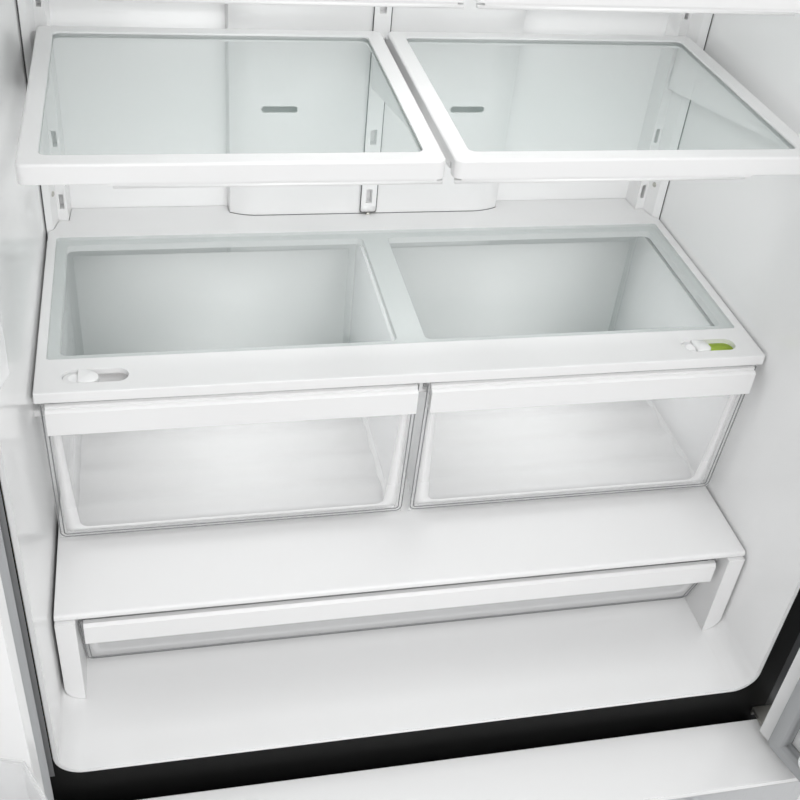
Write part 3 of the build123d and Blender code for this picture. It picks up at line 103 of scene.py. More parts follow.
# %% [markdown]
# ## Light
#
# White mouldings look right under large soft lamps. A panel in front and a weaker one above it
# light the inside, one from each side and one behind light the outside, and the world fills the
# rest. A space this deep also needs light of its own, so three small lamps hang in it: under
# the ceiling, under the crisper cover, and over the cover for the back wall. All of them stay
# at a level at which a colour renders about as it is written. The background gets its white
# from Light Path nodes instead: what the camera, a reflection or a clear pane sees of the
# world is plain white, and what lights the object is weaker.

# %% Small helpers for nodes
def link(tree, start, end):
    """Joins one socket to another."""
    tree.links.new(start, end)


def add_node(tree, kind, place=(0, 0), **values):
    """A node of one kind, with some of its input sockets set."""
    node = tree.nodes.new(kind)
    node.location = place
    for name, value in values.items():
        node.inputs[name.replace("_", " ")].default_value = value
    return node


scene = bpy.context.scene
scene.view_settings.view_transform = "Standard"
print("view", scene.view_settings.view_transform)

# %% World
scene.cycles.transparent_max_bounces = 24
world = bpy.data.worlds.new("studio")
world.use_nodes = True
scene.world = world
sky = world.node_tree
pale = (0.95, 0.95, 0.95, 1)
fill_strength = 0.6
sky.nodes["Background"].inputs["Color"].default_value = pale
sky.nodes["Background"].inputs["Strength"].default_value = fill_strength
seen = add_node(sky, "ShaderNodeBackground", (0, -160), Color=pale, Strength=1.0)
choice = add_node(sky, "ShaderNodeMixShader", (240, 0))
path = add_node(sky, "ShaderNodeLightPath", (-640, 200))
shown = path.outputs["Is Camera Ray"]
for step, ray in enumerate(("Is Glossy Ray", "Is Transmission Ray")):
    either = add_node(sky, "ShaderNodeMath", (-420 + 200 * step, 200))
    either.operation = "MAXIMUM"
    link(sky, shown, either.inputs[0])
    link(sky, path.outputs[ray], either.inputs[1])
    shown = either.outputs[0]
link(sky, shown, choice.inputs[0])
link(sky, sky.nodes["Background"].outputs[0], choice.inputs[1])
link(sky, seen.outputs[0], choice.inputs[2])
link(sky, choice.outputs[0], sky.nodes["World Output"].inputs["Surface"])
print("world fill", fill_strength)

# %% Lamps
def panel_lamp(name, place, target, size, power):
    """A soft lamp that faces a point: its size is one side of a square, or a width and a height."""
    data = bpy.data.lights.new(name, "AREA")
    data.shape = "RECTANGLE"
    data.size, data.size_y = size if isinstance(size, tuple) else (size, size)
    data.energy = power
    lamp = bpy.data.objects.new(name, data)
    lamp.visible_camera = False
    lamp.location = place
    lamp.rotation_euler = (Vector(target) - Vector(place)).to_track_quat("-Z", "Y").to_euler()
    scene.collection.objects.link(lamp)
    return lamp


aim = cover_edge - Vector((0, 0, 0.3))
panel_lamp("high_panel", cover_edge + Vector((0.6, -1.8, 2.3)), aim, 2.0, 12)
panel_lamp("front_panel", cover_edge + Vector((0.1, -2.4, 1.5)), aim, 1.6, 38)
panel_lamp("left_panel", cover_edge + Vector((-3.2, 0.6, 0.8)), cover_edge, 2.0, 14)
panel_lamp("right_panel", cover_edge + Vector((3.2, 0.6, 0.8)), cover_edge, 2.0, 14)
panel_lamp("back_panel_lamp", cover_edge + Vector((0.5, 3.4, 1.6)), cover_edge, 2.4, 40)
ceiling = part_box("control_housing")[0].z
under_ceiling = Vector((0, cover_edge.y + 0.1, ceiling - 0.02))
panel_lamp("cabinet_lamp", under_ceiling, cover_edge, 0.3, 1.3)
under_cover = cover_edge + Vector((0, 0.19, -0.02))
panel_lamp("crisper_lamp", under_cover, under_cover - Vector((0, 0, 1)), (0.72, 0.26), 0.55)
over_cover = cover_edge + Vector((0, 0.03, 0.11))
panel_lamp("back_wall_lamp", over_cover, over_cover + Vector((0, 1, 0)), (0.6, 0.06), 0.25)

# %% [markdown]
# ## Shared shader effects
#
# Moulded plastic and bent sheet never have perfectly sharp edges, so one group rounds the
# shading at every edge. A second group makes the very fine grain of a moulded surface, and a
# third the long hairlines of brushed steel. Each is built once and used in many materials.

# %% An empty group with named sockets
def new_group(name, inputs, outputs):
    """An empty shader group with named sockets."""
    group = bpy.data.node_groups.new(name, "ShaderNodeTree")
    for title, kind, value in inputs:
        socket = group.interface.new_socket(title, in_out="INPUT", socket_type=kind)
        if value is not None:
            socket.default_value = value
    for title, kind in outputs:
        group.interface.new_socket(title, in_out="OUTPUT", socket_type=kind)
    start = group.nodes.new("NodeGroupInput")
    end = group.nodes.new("NodeGroupOutput")
    start.location, end.location = (-700, 0), (500, 0)
    return group, start, end


def bevel_node(group):
    """The node that rounds the shading of edges."""
    bevel = add_node(group, "ShaderNodeBevel", (-420, 200))
    bevel.samples = 4
    return bevel


def varied_roughness(group, start, end, source, low, high):
    """Multiplies the group's roughness by a pattern that runs between two values."""
    spread = add_node(group, "ShaderNodeMapRange", (0, -260), To_Min=low, To_Max=high)
    scaled = add_node(group, "ShaderNodeMath", (220, -260))
    scaled.operation = "MULTIPLY"
    link(group, source, spread.inputs["Value"])
    link(group, spread.outputs["Result"], scaled.inputs[0])
    link(group, start.outputs["Roughness"], scaled.inputs[1])
    link(group, scaled.outputs[0], end.inputs["Roughness"])


print("groups so far", len(bpy.data.node_groups))

# %% The moulded surface
def make_surface_group():
    """Soft edges with a moulded grain: gives a normal and a small change of roughness."""
    group, start, end = new_group(
        "moulded surface",
        [("Edge Radius", "NodeSocketFloat", 0.001), ("Grain Scale", "NodeSocketFloat", 900.0),
         ("Grain Depth", "NodeSocketFloat", 0.00002), ("Wave Depth", "NodeSocketFloat", 0.0),
         ("Roughness", "NodeSocketFloat", 0.3)],
        [("Normal", "NodeSocketVector"), ("Roughness", "NodeSocketFloat")],
    )
    bevel = bevel_node(group)
    place = add_node(group, "ShaderNodeTexCoord", (-700, -220))
    grain = add_node(group, "ShaderNodeTexNoise", (-420, -60), Detail=2.0)
    wave = add_node(group, "ShaderNodeTexNoise", (-420, -320), Scale=4.5, Detail=1.0)
    fine = add_node(group, "ShaderNodeBump", (0, 80), Strength=1.0)
    broad = add_node(group, "ShaderNodeBump", (220, 80), Strength=1.0)
    link(group, start.outputs["Edge Radius"], bevel.inputs["Radius"])
    link(group, place.outputs["Object"], grain.inputs["Vector"])
    link(group, place.outputs["Object"], wave.inputs["Vector"])
    link(group, start.outputs["Grain Scale"], grain.inputs["Scale"])
    link(group, grain.outputs["Fac"], fine.inputs["Height"])
    link(group, start.outputs["Grain Depth"], fine.inputs["Distance"])
    link(group, bevel.outputs["Normal"], fine.inputs["Normal"])
    link(group, wave.outputs["Fac"], broad.inputs["Height"])
    link(group, start.outputs["Wave Depth"], broad.inputs["Distance"])
    link(group, fine.outputs["Normal"], broad.inputs["Normal"])
    link(group, broad.outputs["Normal"], end.inputs["Normal"])
    varied_roughness(group, start, end, wave.outputs["Fac"], 0.85, 1.15)
    return group


surface_group = make_surface_group()
print("group", surface_group.name)

# %% The brushed hairlines
def make_hairline_group():
    """Brushed metal: long fine lines along one axis, as a normal and a roughness."""
    group, start, end = new_group(
        "brushed hairlines",
        [("Edge Radius", "NodeSocketFloat", 0.001),
         ("Line Scale", "NodeSocketVector", (1400, 1400, 6)),
         ("Line Depth", "NodeSocketFloat", 0.00001), ("Roughness", "NodeSocketFloat", 0.3)],
        [("Normal", "NodeSocketVector"), ("Roughness", "NodeSocketFloat"),
         ("Shade", "NodeSocketFloat")],
    )
    bevel = bevel_node(group)
    place = add_node(group, "ShaderNodeTexCoord", (-900, -220))
    stretch = add_node(group, "ShaderNodeMapping", (-640, -220))
    lines = add_node(group, "ShaderNodeTexNoise", (-420, -120), Scale=1.0, Detail=3.0,
                     Roughness=0.7)
    bump = add_node(group, "ShaderNodeBump", (0, 80), Strength=1.0)
    link(group, start.outputs["Edge Radius"], bevel.inputs["Radius"])
    link(group, place.outputs["Object"], stretch.inputs["Vector"])
    link(group, start.outputs["Line Scale"], stretch.inputs["Scale"])
    link(group, stretch.outputs["Vector"], lines.inputs["Vector"])
    link(group, lines.outputs["Fac"], bump.inputs["Height"])
    link(group, start.outputs["Line Depth"], bump.inputs["Distance"])
    link(group, bevel.outputs["Normal"], bump.inputs["Normal"])
    link(group, bump.outputs["Normal"], end.inputs["Normal"])
    varied_roughness(group, start, end, lines.outputs["Fac"], 0.75, 1.25)
    link(group, lines.outputs["Fac"], end.inputs["Shade"])
    return group


hairline_group = make_hairline_group()
print("group", hairline_group.name)

# %% [markdown]
# ## Opaque mouldings, paints and rubber
#
# The liner is vacuum-formed sheet: glossy, and never quite flat, so its reflections swim a
# little. The shelf rims, cover and bars are injection moulded with a finer satin surface.
# One function makes all of them from a colour, a roughness and the depth of the grain.

# %% Opaque materials
def moulding(name, color, roughness, edge=0.0008, grain=(900, 0.00001), wave=0.0, **sockets):
    """A moulded or painted material with soft edges and a fine grain."""
    material = bpy.data.materials.new(name)
    material.use_nodes = True
    tree = material.node_tree
    shader = tree.nodes["Principled BSDF"]
    shader.inputs["Base Color"].default_value = (*color, 1)
    for title, value in sockets.items():
        shader.inputs[title.replace("_", " ")].default_value = value
    surface = tree.nodes.new("ShaderNodeGroup")
    surface.node_tree = surface_group
    surface.location = (-300, 0)
    surface.inputs["Edge Radius"].default_value = edge
    surface.inputs["Grain Scale"].default_value = grain[0]
    surface.inputs["Grain Depth"].default_value = grain[1]
    surface.inputs["Wave Depth"].default_value = wave
    surface.inputs["Roughness"].default_value = roughness
    link(tree, surface.outputs["Normal"], shader.inputs["Normal"])
    link(tree, surface.outputs["Roughness"], shader.inputs["Roughness"])
    return material


materials = {}
for name, color, roughness, edge, grain, others in (
    ("liner_white", (0.89, 0.892, 0.892), 0.14, 0.002, (500, 0.00001), {"wave": 0.0012}),
    ("trim_white", (0.83, 0.83, 0.83), 0.3, 0.0008, (1200, 0.00001), {}),
    ("rail_white", (0.865, 0.865, 0.865), 0.35, 0.0005, (1500, 0.00002), {}),
    ("slider_white", (0.9, 0.9, 0.9), 0.2, 0.001, (1200, 0.000005), {}),
    ("cabinet_paint", (0.05, 0.052, 0.055), 0.42, 0.001, (1800, 0.00006), {}),
    ("flange_paint", (0.004, 0.004, 0.004), 0.5, 0.0006, (1500, 0.00003),
     {"Specular_IOR_Level": 0.15}),
    ("joint_shade", (0.1, 0.1, 0.1), 0.8, 0.0003, (900, 0.000005), {}),
    ("seal_grey", (0.42, 0.43, 0.44), 0.6, 0.001, (700, 0.00003), {}),
    ("dark_plastic", (0.02, 0.02, 0.021), 0.5, 0.0008, (1600, 0.00008), {}),
    ("compressor_black", (0.008, 0.008, 0.008), 0.25, 0.001, (400, 0.00003), {}),
    ("galvanised", (0.45, 0.46, 0.47), 0.45, 0.0006, (250, 0.00003), {"Metallic": 0.7}),
    ("zinc_steel", (0.55, 0.54, 0.5), 0.32, 0.0005, (500, 0.00002), {"Metallic": 0.9}),
    ("coil_aluminium", (0.75, 0.76, 0.77), 0.35, 0.0003, (900, 0.00002), {"Metallic": 1.0}),
    ("roller_grey", (0.1, 0.1, 0.1), 0.5, 0.001, (900, 0.00003), {}),
    ("pan_line", (0.2, 0.205, 0.21), 0.25, 0.0003, (900, 0.000005), {}),
    ("foam", (0.75, 0.6, 0.3), 0.9, 0.002, (300, 0.0002), {}),
):
    materials[name] = moulding(name, color, roughness, edge, grain, **others)
print("mouldings", len(materials))

# %% [markdown]
# ## Brushed steel
#
# The door wraps are rolled and brushed along their length, so their highlight is drawn out
# across the lines. The hairlines come from the shared group, and the slight change of shade
# along them keeps the big flat fronts from looking printed.

# %% Steel materials
def brushed(name, color, line_scale, roughness, anisotropic):
    """Brushed stainless steel with hairlines along the axis of the smallest scale."""
    material = bpy.data.materials.new(name)
    material.use_nodes = True
    tree = material.node_tree
    shader = tree.nodes["Principled BSDF"]
    shader.inputs["Metallic"].default_value = 1.0
    shader.inputs["Anisotropic"].default_value = anisotropic
    lines = tree.nodes.new("ShaderNodeGroup")
    lines.node_tree = hairline_group
    lines.location = (-500, 0)
    lines.inputs["Line Scale"].default_value = line_scale
    lines.inputs["Roughness"].default_value = roughness
    tint = tree.nodes.new("ShaderNodeMix")
    tint.data_type = "RGBA"
    tint.location = (-250, 200)
    darkest = 0.93
    tint.inputs["A"].default_value = (*[value * darkest for value in color], 1)
    tint.inputs["B"].default_value = (*color, 1)
    link(tree, lines.outputs["Shade"], tint.inputs["Factor"])
    link(tree, tint.outputs["Result"], shader.inputs["Base Color"])
    link(tree, lines.outputs["Normal"], shader.inputs["Normal"])
    link(tree, lines.outputs["Roughness"], shader.inputs["Roughness"])
    return material


for name, color, line_scale, roughness in (
    ("steel_skin", (0.62, 0.63, 0.64), (900, 900, 5), 0.3),
    ("handle_steel", (0.66, 0.67, 0.68), (1200, 1200, 8), 0.26),
):
    materials[name] = brushed(name, color, line_scale, roughness, 0.4)
    print("steel", name)

# %% [markdown]
# ## Clear plastic and glass
#
# The pans are clear crystal plastic and the shelves are tempered glass. Seen face on they
# nearly vanish, and towards a grazing angle they turn into a pale sheen. A Layer Weight node
# drives how much of the surface is there, which is quick to render and lets the light through.
# The same function with higher values makes the frosted floor of a pan and the pale band of painted light on its
# front.

# %% Clear materials
def clear(name, color, face, edge, roughness, radius):
    """A see-through material that grows denser towards a grazing angle."""
    material = bpy.data.materials.new(name)
    material.use_nodes = True
    tree = material.node_tree
    shader = tree.nodes["Principled BSDF"]
    shader.inputs["Base Color"].default_value = (*color, 1)
    surface = tree.nodes.new("ShaderNodeGroup")
    surface.node_tree = surface_group
    surface.location = (-300, 0)
    surface.inputs["Edge Radius"].default_value = radius
    surface.inputs["Roughness"].default_value = roughness
    surface.inputs["Grain Depth"].default_value = 0.000004
    weight = add_node(tree, "ShaderNodeLayerWeight", (-700, 200), Blend=0.35)
    density = add_node(tree, "ShaderNodeMapRange", (-500, 200))
    density.inputs["To Min"].default_value = face
    density.inputs["To Max"].default_value = edge
    link(tree, weight.outputs["Facing"], density.inputs["Value"])
    link(tree, density.outputs["Result"], shader.inputs["Alpha"])
    link(tree, surface.outputs["Normal"], shader.inputs["Normal"])
    link(tree, surface.outputs["Roughness"], shader.inputs["Roughness"])
    return material


for name, color, face, edge, roughness, radius in (
    ("clear_plastic", (0.95, 0.955, 0.96), 0.04, 0.7, 0.08, 0.0008),
    ("frosted_plastic", (0.9, 0.9, 0.9), 0.6, 0.9, 0.35, 0.0008),
    # A pale, nearly opaque sheet material that paints lamp light onto the pan fronts.
    ("pan_web", (0.95, 0.95, 0.95), 0.85, 0.95, 0.3, 0.0005),
    ("shelf_pane", (0.46, 0.56, 0.54), 0.07, 0.3, 0.04, 0.0003),
):
    materials[name] = clear(name, color, face, edge, roughness, radius)
    print("clear", name, "from", face, "to", edge)

# %% Give every node its finish
slot_of = {row["node"]: row["material_slot"] for row in frame["record"]["subparts"]}
for name, node in nodes.items():
    node.data.materials.clear()
    node.data.materials.append(materials[slot_of[name]])
print("finishes", len(materials))

# %% [markdown]
# ## Tools for the small pieces
#
# Most small parts are either turned, like a screw or a foot, or they are a section that runs
# round a frame, like a seal. Both are rings of points joined by quads, so one function lofts
# rings and a few others make them. Tubes and rolled rims are curves with a round section.

# %% Rings
def circle_ring(radius, height, steps=28, lobes=0, depth=0.0):
    """A level ring of points, with lobes where a screw's recess needs them."""
    points = []
    for step in range(steps):
        angle = 2 * math.pi * step / steps
        reach = radius * (1 + depth * math.cos(lobes * angle))
        points.append((reach * math.cos(angle), reach * math.sin(angle), height))
    return points


def rectangle_ring(low, high, inset, radius, level, steps=5):
    """A ring round a rounded rectangle: low and high are two corners of its plan."""
    corner = max(radius - inset, 0.0002)
    left, bottom = low[0] + inset + corner, low[1] + inset + corner
    right, top = high[0] - inset - corner, high[1] - inset - corner
    points = []
    for turn, middle in enumerate(((right, top), (left, top), (left, bottom), (right, bottom))):
        for step in range(steps + 1):
            angle = math.pi / 2 * (turn + step / steps)
            x = middle[0] + corner * math.cos(angle)
            y = middle[1] + corner * math.sin(angle)
            points.append((x, y, level))
    return points


print("a ring of", len(circle_ring(1, 0)), "points")

# %% Lofts and meshes
def loft(bm, rings, closed=False, cap_start=True, cap_end=True):
    """Joins rings of equal length with quads, and caps the ends of an open loft."""
    rows = [[bm.verts.new(point) for point in ring] for ring in rings]
    pairs = list(zip(rows, rows[1:]))
    if closed:
        pairs.append((rows[-1], rows[0]))
    for first, second in pairs:
        for index in range(len(first)):
            after = (index + 1) % len(first)
            bm.faces.new((first[index], first[after], second[after], second[index]))
    if not closed and cap_start:
        bm.faces.new(list(reversed(rows[0])))
    if not closed and cap_end:
        bm.faces.new(rows[-1])
    return rows


def new_mesh(name, fill):
    """A mesh filled by a function that draws into a bmesh."""
    mesh = bpy.data.meshes.new(name)
    bm = bmesh.new()
    fill(bm)
    bmesh.ops.recalc_face_normals(bm, faces=bm.faces)
    for face in bm.faces:
        face.smooth = True
    bm.to_mesh(mesh)
    bm.free()
    return mesh


print("mesh tools", loft.__name__, new_mesh.__name__)

# %% Placing pieces and tubes
def put(name, data, body, finish, place=None):
    """Puts a mesh or curve into the scene, on a body, with a finish of the record."""
    piece = bpy.data.objects.new(name, data)
    if not data.materials:
        data.materials.append(materials[finish])
    if place is not None:
        piece.matrix_world = place
    scene.collection.objects.link(piece)
    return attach(piece, body)


def bead(name, points, radius, body, finish, closed=True, place=None):
    """A round rim or tube along a line of points."""
    curve = bpy.data.curves.new(name, "CURVE")
    curve.dimensions = "3D"
    curve.bevel_depth = radius
    curve.bevel_resolution = 3
    curve.use_fill_caps = True
    line = curve.splines.new("POLY")
    line.points.add(len(points) - 1)
    for target, point in zip(line.points, points):
        target.co = (*point, 1)
    line.use_cyclic_u = closed
    line.use_smooth = True
    return put(name, curve, body, finish, place)


def facing(place, direction):
    """A matrix that stands a piece on a point, with its Z along a direction."""
    turn = Vector(direction).to_track_quat("Z", "Y").to_matrix().to_4x4()
    return Matrix.Translation(place) @ turn


joint_of = {joint["name"]: joint for joint in frame["joints"]}

# %% [markdown]
# ## Screws
#
# Each screw is turned from a profile: a low domed head with a lobed recess. All screws of one
# size share one mesh, so a dozen of them cost no more than one.

# %% Screw heads
def screw_mesh(name, radius, height):
    """A pan head with a six-lobed recess."""
    def fill(bm):
        loft(bm, [
            circle_ring(radius, 0),
            circle_ring(radius, height * 0.35),
            circle_ring(radius * 0.86, height * 0.78),
            circle_ring(radius * 0.6, height),
            circle_ring(radius * 0.42, height, lobes=6, depth=0.14),
            circle_ring(radius * 0.38, height * 0.4, lobes=6, depth=0.14),
        ])
    return new_mesh(name, fill)


small_screw = screw_mesh("small_screw", 0.0034, 0.0018)
sheet_screw = screw_mesh("sheet_screw", 0.0045, 0.0026)
for mesh in (small_screw, sheet_screw):
    mesh.materials.append(materials["zinc_steel"])
    print(mesh.name, "faces", len(mesh.polygons))

# %% Screws of the rails and the rear cover
sides = ((-1, "left"), (1, "right"))
rails_low, rails_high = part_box("shelf_rails")
rail_screw_rise = 0.042
rail_screw_z = cover_edge.z + rail_screw_rise
flank_x = rails_high.x - 0.0112
flank_y = rails_high.y - 0.0415
flank_across, flank_forward = 0.97, 0.23
for side, word in sides:
    flank_direction = (-side * flank_across, -flank_forward, 0)
    place = facing((side * flank_x, flank_y, rail_screw_z), flank_direction)
    put(word + "_rail_screw", small_screw, "cabinet", "zinc_steel", place)

rear_low, rear_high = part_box("rear_cover")
rear_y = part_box("back_panel")[1].y
screw_row = 0.012
screws_across = 4
for index in range(2 * screws_across):
    share = (index % screws_across) / (screws_across - 1)
    x = rear_low.x + screw_row + share * (rear_high.x - rear_low.x - 2 * screw_row)
    z = rear_low.z + screw_row if index < screws_across else rear_high.z - screw_row
    place = facing((x, rear_y, z), (0, 1, 0))
    put("rear_cover_screw_" + str(index + 1), sheet_screw, "cabinet", "zinc_steel", place)
print("rear cover screws", 2 * screws_across)

# %% Screws of the grille, the hinge covers and the evaporator cover
grille_low, grille_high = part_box("toe_grille")
grille_middle = (grille_low.z + grille_high.z) / 2
hood_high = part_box("hinge_covers")[1]
hood_inset_x, hood_inset_y = 0.028, 0.03
for side, word in sides:
    place = facing((side * (grille_high.x - screw_row), grille_low.y, grille_middle), (0, -1, 0))
    put(word + "_grille_screw", small_screw, "cabinet", "zinc_steel", place)
    hood_place = (side * (hood_high.x - hood_inset_x), hood_high.y - hood_inset_y, hood_high.z)
    place = facing(hood_place, (0, 0, 1))
    put(word + "_hinge_cover_screw", sheet_screw, "cabinet", "zinc_steel", place)

panel_low, panel_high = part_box("evaporator_cover")
panel_size = panel_high - panel_low
panel_screws = ((0.03, 0.1), (0.97, 0.1), (0.03, 0.9), (0.97, 0.9))
for index, (share_x, share_z) in enumerate(panel_screws):
    x = panel_low.x + share_x * panel_size.x
    z = panel_low.z + share_z * panel_size.z
    place = facing((x, panel_low.y, z), (0, -1, 0))
    put("evaporator_cover_screw_" + str(index + 1), small_screw, "cabinet", "zinc_steel", place)

# %% [markdown]
# ## Humidity sliders
#
# Each crisper has a small slider in an oval recess of the cover. Under the slider lies a
# printed inlay, green on the right and grey on the left, that shows more or less of itself as
# the slider moves. The slider has a low thumb pad, a ridge to push against, and a slope down
# to its rounded end. It replaces the plain CAD slider and fills the same space.

# %% An oval ring
recess_length = 0.066
recess_width = 0.022
recess_margin = 0.0004


def stadium_ring(length, width, inset, level, rise=0.0, start=0.0, steps=10):
    """A ring round an oval with straight sides; rise tilts it down from start to its end."""
    radius = width / 2 - inset
    middle = length / 2 - width / 2
    points = []
    for turn, centre in ((-0.5, middle), (0.5, -middle)):
        for step in range(steps + 1):
            angle = math.pi * (turn + step / steps)
            x = max(centre + radius * math.cos(angle), start - length / 2 + inset)
            y = radius * math.sin(angle)
            slope = rise * (length / 2 - x) / (length - start)
            points.append((x, y, level + slope))
    return points


print("oval of", len(stadium_ring(recess_length, recess_width, 0, 0)), "points")

# %% The slider's shape
def slider_mesh(name, low, high):
    """The slider: a thin oval foot, a low pad and a wedge that rises to the ridge."""
    length = high.x - low.x
    width = high.y - low.y
    height = high.z - low.z
    foot = height * 0.42
    ridge = length * 0.42
    wedge = height * 0.42
    pad_middle = -length / 2 + width / 2
    pad_profile = (
        (0.0062, foot - 0.0002), (0.0062, foot + 0.0005), (0.0056, foot + 0.0009),
        (0.0048, foot + 0.0009), (0.0040, foot + 0.0003),
    )

    def fill(bm):
        loft(bm, [
            stadium_ring(length, width, 0, 0),
            stadium_ring(length, width, 0, foot - 0.0006),
            stadium_ring(length, width, 0.0006, foot),
        ])
        loft(bm, [
            stadium_ring(length, width, 0.0002, foot - 0.0004, 0, ridge),
            stadium_ring(length, width, 0.0002, foot + 0.0004, wedge, ridge),
            stadium_ring(length, width, 0.0009, foot + 0.001, wedge, ridge),
        ])
        rings = []
        for radius, level in pad_profile:
            rings.append([(x + pad_middle, y, z) for x, y, z in circle_ring(radius, level)])
        loft(bm, rings)
    return new_mesh(name, fill)


for word in ("left", "right"):
    slider_node = word + "_humidity_slider"
    low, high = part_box(slider_node)
    knob_name = word + "_slider_knob"
    knob_place = Matrix.Translation(((low.x + high.x) / 2, (low.y + high.y) / 2, low.z))
    knob = put(knob_name, slider_mesh(knob_name, low, high), word + "_slider", "slider_white",
               knob_place)
    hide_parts(slider_node)
    print(word, "slider", round(high.x - low.x, 4), "long")

# %% The printed inlays
materials["inlay_green"] = moulding("inlay_green", (0.42, 0.6, 0.02), 0.35, 0.0003)
materials["inlay_grey"] = moulding("inlay_grey", (0.64, 0.63, 0.63), 0.35, 0.0003)
inlay_thickness = 0.0002
inlay_drop = 0.00025


def fill_inlay(bm):
    """A thin oval sheet that fills the recess."""
    loft(bm, [stadium_ring(recess_length, recess_width, recess_margin, level)
              for level in (0, inlay_thickness)])


for word, inlay in (("left", "inlay_grey"), ("right", "inlay_green")):
    low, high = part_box(word + "_humidity_slider")
    inlay_x = low.x - recess_margin + recess_length / 2
    inlay_place = Matrix.Translation((inlay_x, (low.y + high.y) / 2, low.z - inlay_drop))
    put(word + "_slider_inlay", new_mesh(word + "_inlay", fill_inlay), "cabinet", inlay,
        inlay_place)
    print(word, "inlay at", round(inlay_x, 3))

# %% [markdown]
# ## Door seals
#
# A seal is an extruded soft section, mitred and welded at the corners: a flat foot pushed into
# the door, a folded bellows, and a pocket with a flat magnet. The section here is a list of
# steps in and out, and each step is one ring round the door. The doors stand open, so the
# seals are drawn on shut doors and swung out with them by the hinge's own axis.

# %% Shut doors and open doors
def door_swing(word):
    """The matrix that swings a shut door's piece out to where the door rests."""
    joint = joint_of[word + "_door_hinge"]
    pivot = Vector(joint["pos_m"])
    turn = Matrix.Rotation(math.radians(-joint["range_deg"][0]), 4, Vector(joint["axis"]))
    return Matrix.Translation(pivot) @ turn @ Matrix.Translation(-pivot)


def shut_points(node, swing):
    """The vertices of a door's node with the door swung shut."""
    back = swing.inverted()
    return [back @ vertex.co for vertex in nodes[node].data.vertices]


def limits(points):
    """The lowest and highest corner of some points."""
    low = Vector([min(point[axis] for point in points) for axis in range(3)])
    high = Vector([max(point[axis] for point in points) for axis in range(3)])
    return low, high


for word in ("left", "right"):
    low, high = limits(shut_points(word + "_door_skin", door_swing(word)))
    print(word, "door shut from x", round(low.x, 3), "to", round(high.x, 3))

# %% The seals
seal_section = [
    (0.0, 0.0), (0.0, 0.2), (0.14, 0.36), (0.03, 0.54), (0.0, 0.7), (0.05, 0.94), (0.12, 1.0),
    (0.72, 1.0), (0.8, 0.93), (0.84, 0.76), (1.0, 0.66), (0.86, 0.5), (1.0, 0.3), (1.0, 0.0),
]
seal_width = 0.022
seal_corner = 0.008


def seal_mesh(name, low, high):
    """The seal's section carried round the door."""
    depth = high.y - low.y

    def fill(bm):
        rings = []
        for inward, out in seal_section:
            flat = rectangle_ring((low.x, low.z), (high.x, high.z), inward * seal_width,
                                  seal_corner, 0)
            rings.append([(x, low.y + out * depth, z) for x, z, _ in flat])
        loft(bm, rings, closed=True)
    return new_mesh(name, fill)


for word in ("left", "right"):
    swing = door_swing(word)
    low, high = limits(shut_points(word + "_door_gasket", swing))
    seal_name = word + "_door_seal"
    seal = put(seal_name, seal_mesh(seal_name, low, high), word + "_door", "seal_grey", swing)
    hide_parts(word + "_door_gasket")
    print(seal_name, round(high.z - low.z, 3), "high")
low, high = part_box("drawer_gasket")
seal = put("drawer_seal", seal_mesh("drawer_seal", low, high), "freezer_drawer", "seal_grey")
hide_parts("drawer_gasket")
print("drawer_seal", round(high.x - low.x, 3), "wide")

# %% [markdown]
# ## Rolled rims
#
# Clear bins and freezer baskets have a thicker rolled edge, which stiffens a thin moulding
# and catches the light. Each is a round bead that follows the top of the CAD piece. A curve
# with a round section is the quickest way to it.

# %% The outline of a piece
def top_outline(points, level, tolerance=0.0004):
    """The outermost corners of a convex piece at its top, in order round it."""
    flat = sorted({(round(p.x, 5), round(p.y, 5)) for p in points if abs(p.z - level) < tolerance})

    def half(row):
        """The corners along one side of the outline."""
        chain = []
        for x, y in row:
            while len(chain) > 1:
                (ax, ay), (bx, by) = chain[-2], chain[-1]
                if (bx - ax) * (y - ay) - (by - ay) * (x - ax) > 0:
                    break
                chain.pop()
            chain.append((x, y))
        return chain[:-1]
    return half(flat) + half(list(reversed(flat)))


def shrunk(outline, inset):
    """An outline drawn in by a wall's half thickness."""
    count = len(outline)
    result = []
    for index, (x, y) in enumerate(outline):
        (px, py), (nx, ny) = outline[index - 1], outline[(index + 1) % count]
        first = Vector((x - px, y - py)).normalized()
        second = Vector((nx - x, ny - y)).normalized()
        normal_first = Vector((-first.y, first.x))
        normal_second = Vector((-second.y, second.x))
        bisector = (normal_first + normal_second).normalized()
        reach = inset / max(bisector.dot(normal_first), 0.4)
        result.append((x + bisector.x * reach, y + bisector.y * reach))
    return result


unit_square = [(0, 0), (1, 0), (1, 1), (0, 1)]
print("a square drawn in by 0.1:", shrunk(unit_square, 0.1))

# %% Rims of bins and baskets
liner_low, liner_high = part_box("fresh_food_liner")
bin_wall = 0.0025
bin_rim = 0.0022
bin_tops = (0.2155, 0.7575, 0.9205)
for word in ("left", "right"):
    swing = door_swing(word)
    points = shut_points(word + "_door_bins", swing)
    for number, lift in enumerate(bin_tops):
        level = liner_low.z + lift
        outline = shrunk(top_outline(points, level), bin_wall / 2)
        line = [(x, y, level) for x, y in outline]
        bead(f"{word}_bin_rim_{number + 1}", line, bin_rim, word + "_door", "clear_plastic",
             place=swing)
        print(word, "bin rim", number + 1, "points", len(line))

basket_wall = 0.003
basket_corner = 0.02
for name, body, side_gap in (("lower_basket", "freezer_drawer", 0),
                             ("upper_basket", "freezer_tray", 0.01)):
    low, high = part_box(name)
    reach = (high.x - low.x) / 2 - side_gap
    ring = rectangle_ring((-reach, low.y), (reach, high.y), basket_wall / 2, basket_corner,
                          high.z, 4)
    bead(name + "_rim", ring, basket_wall, body, "trim_white")
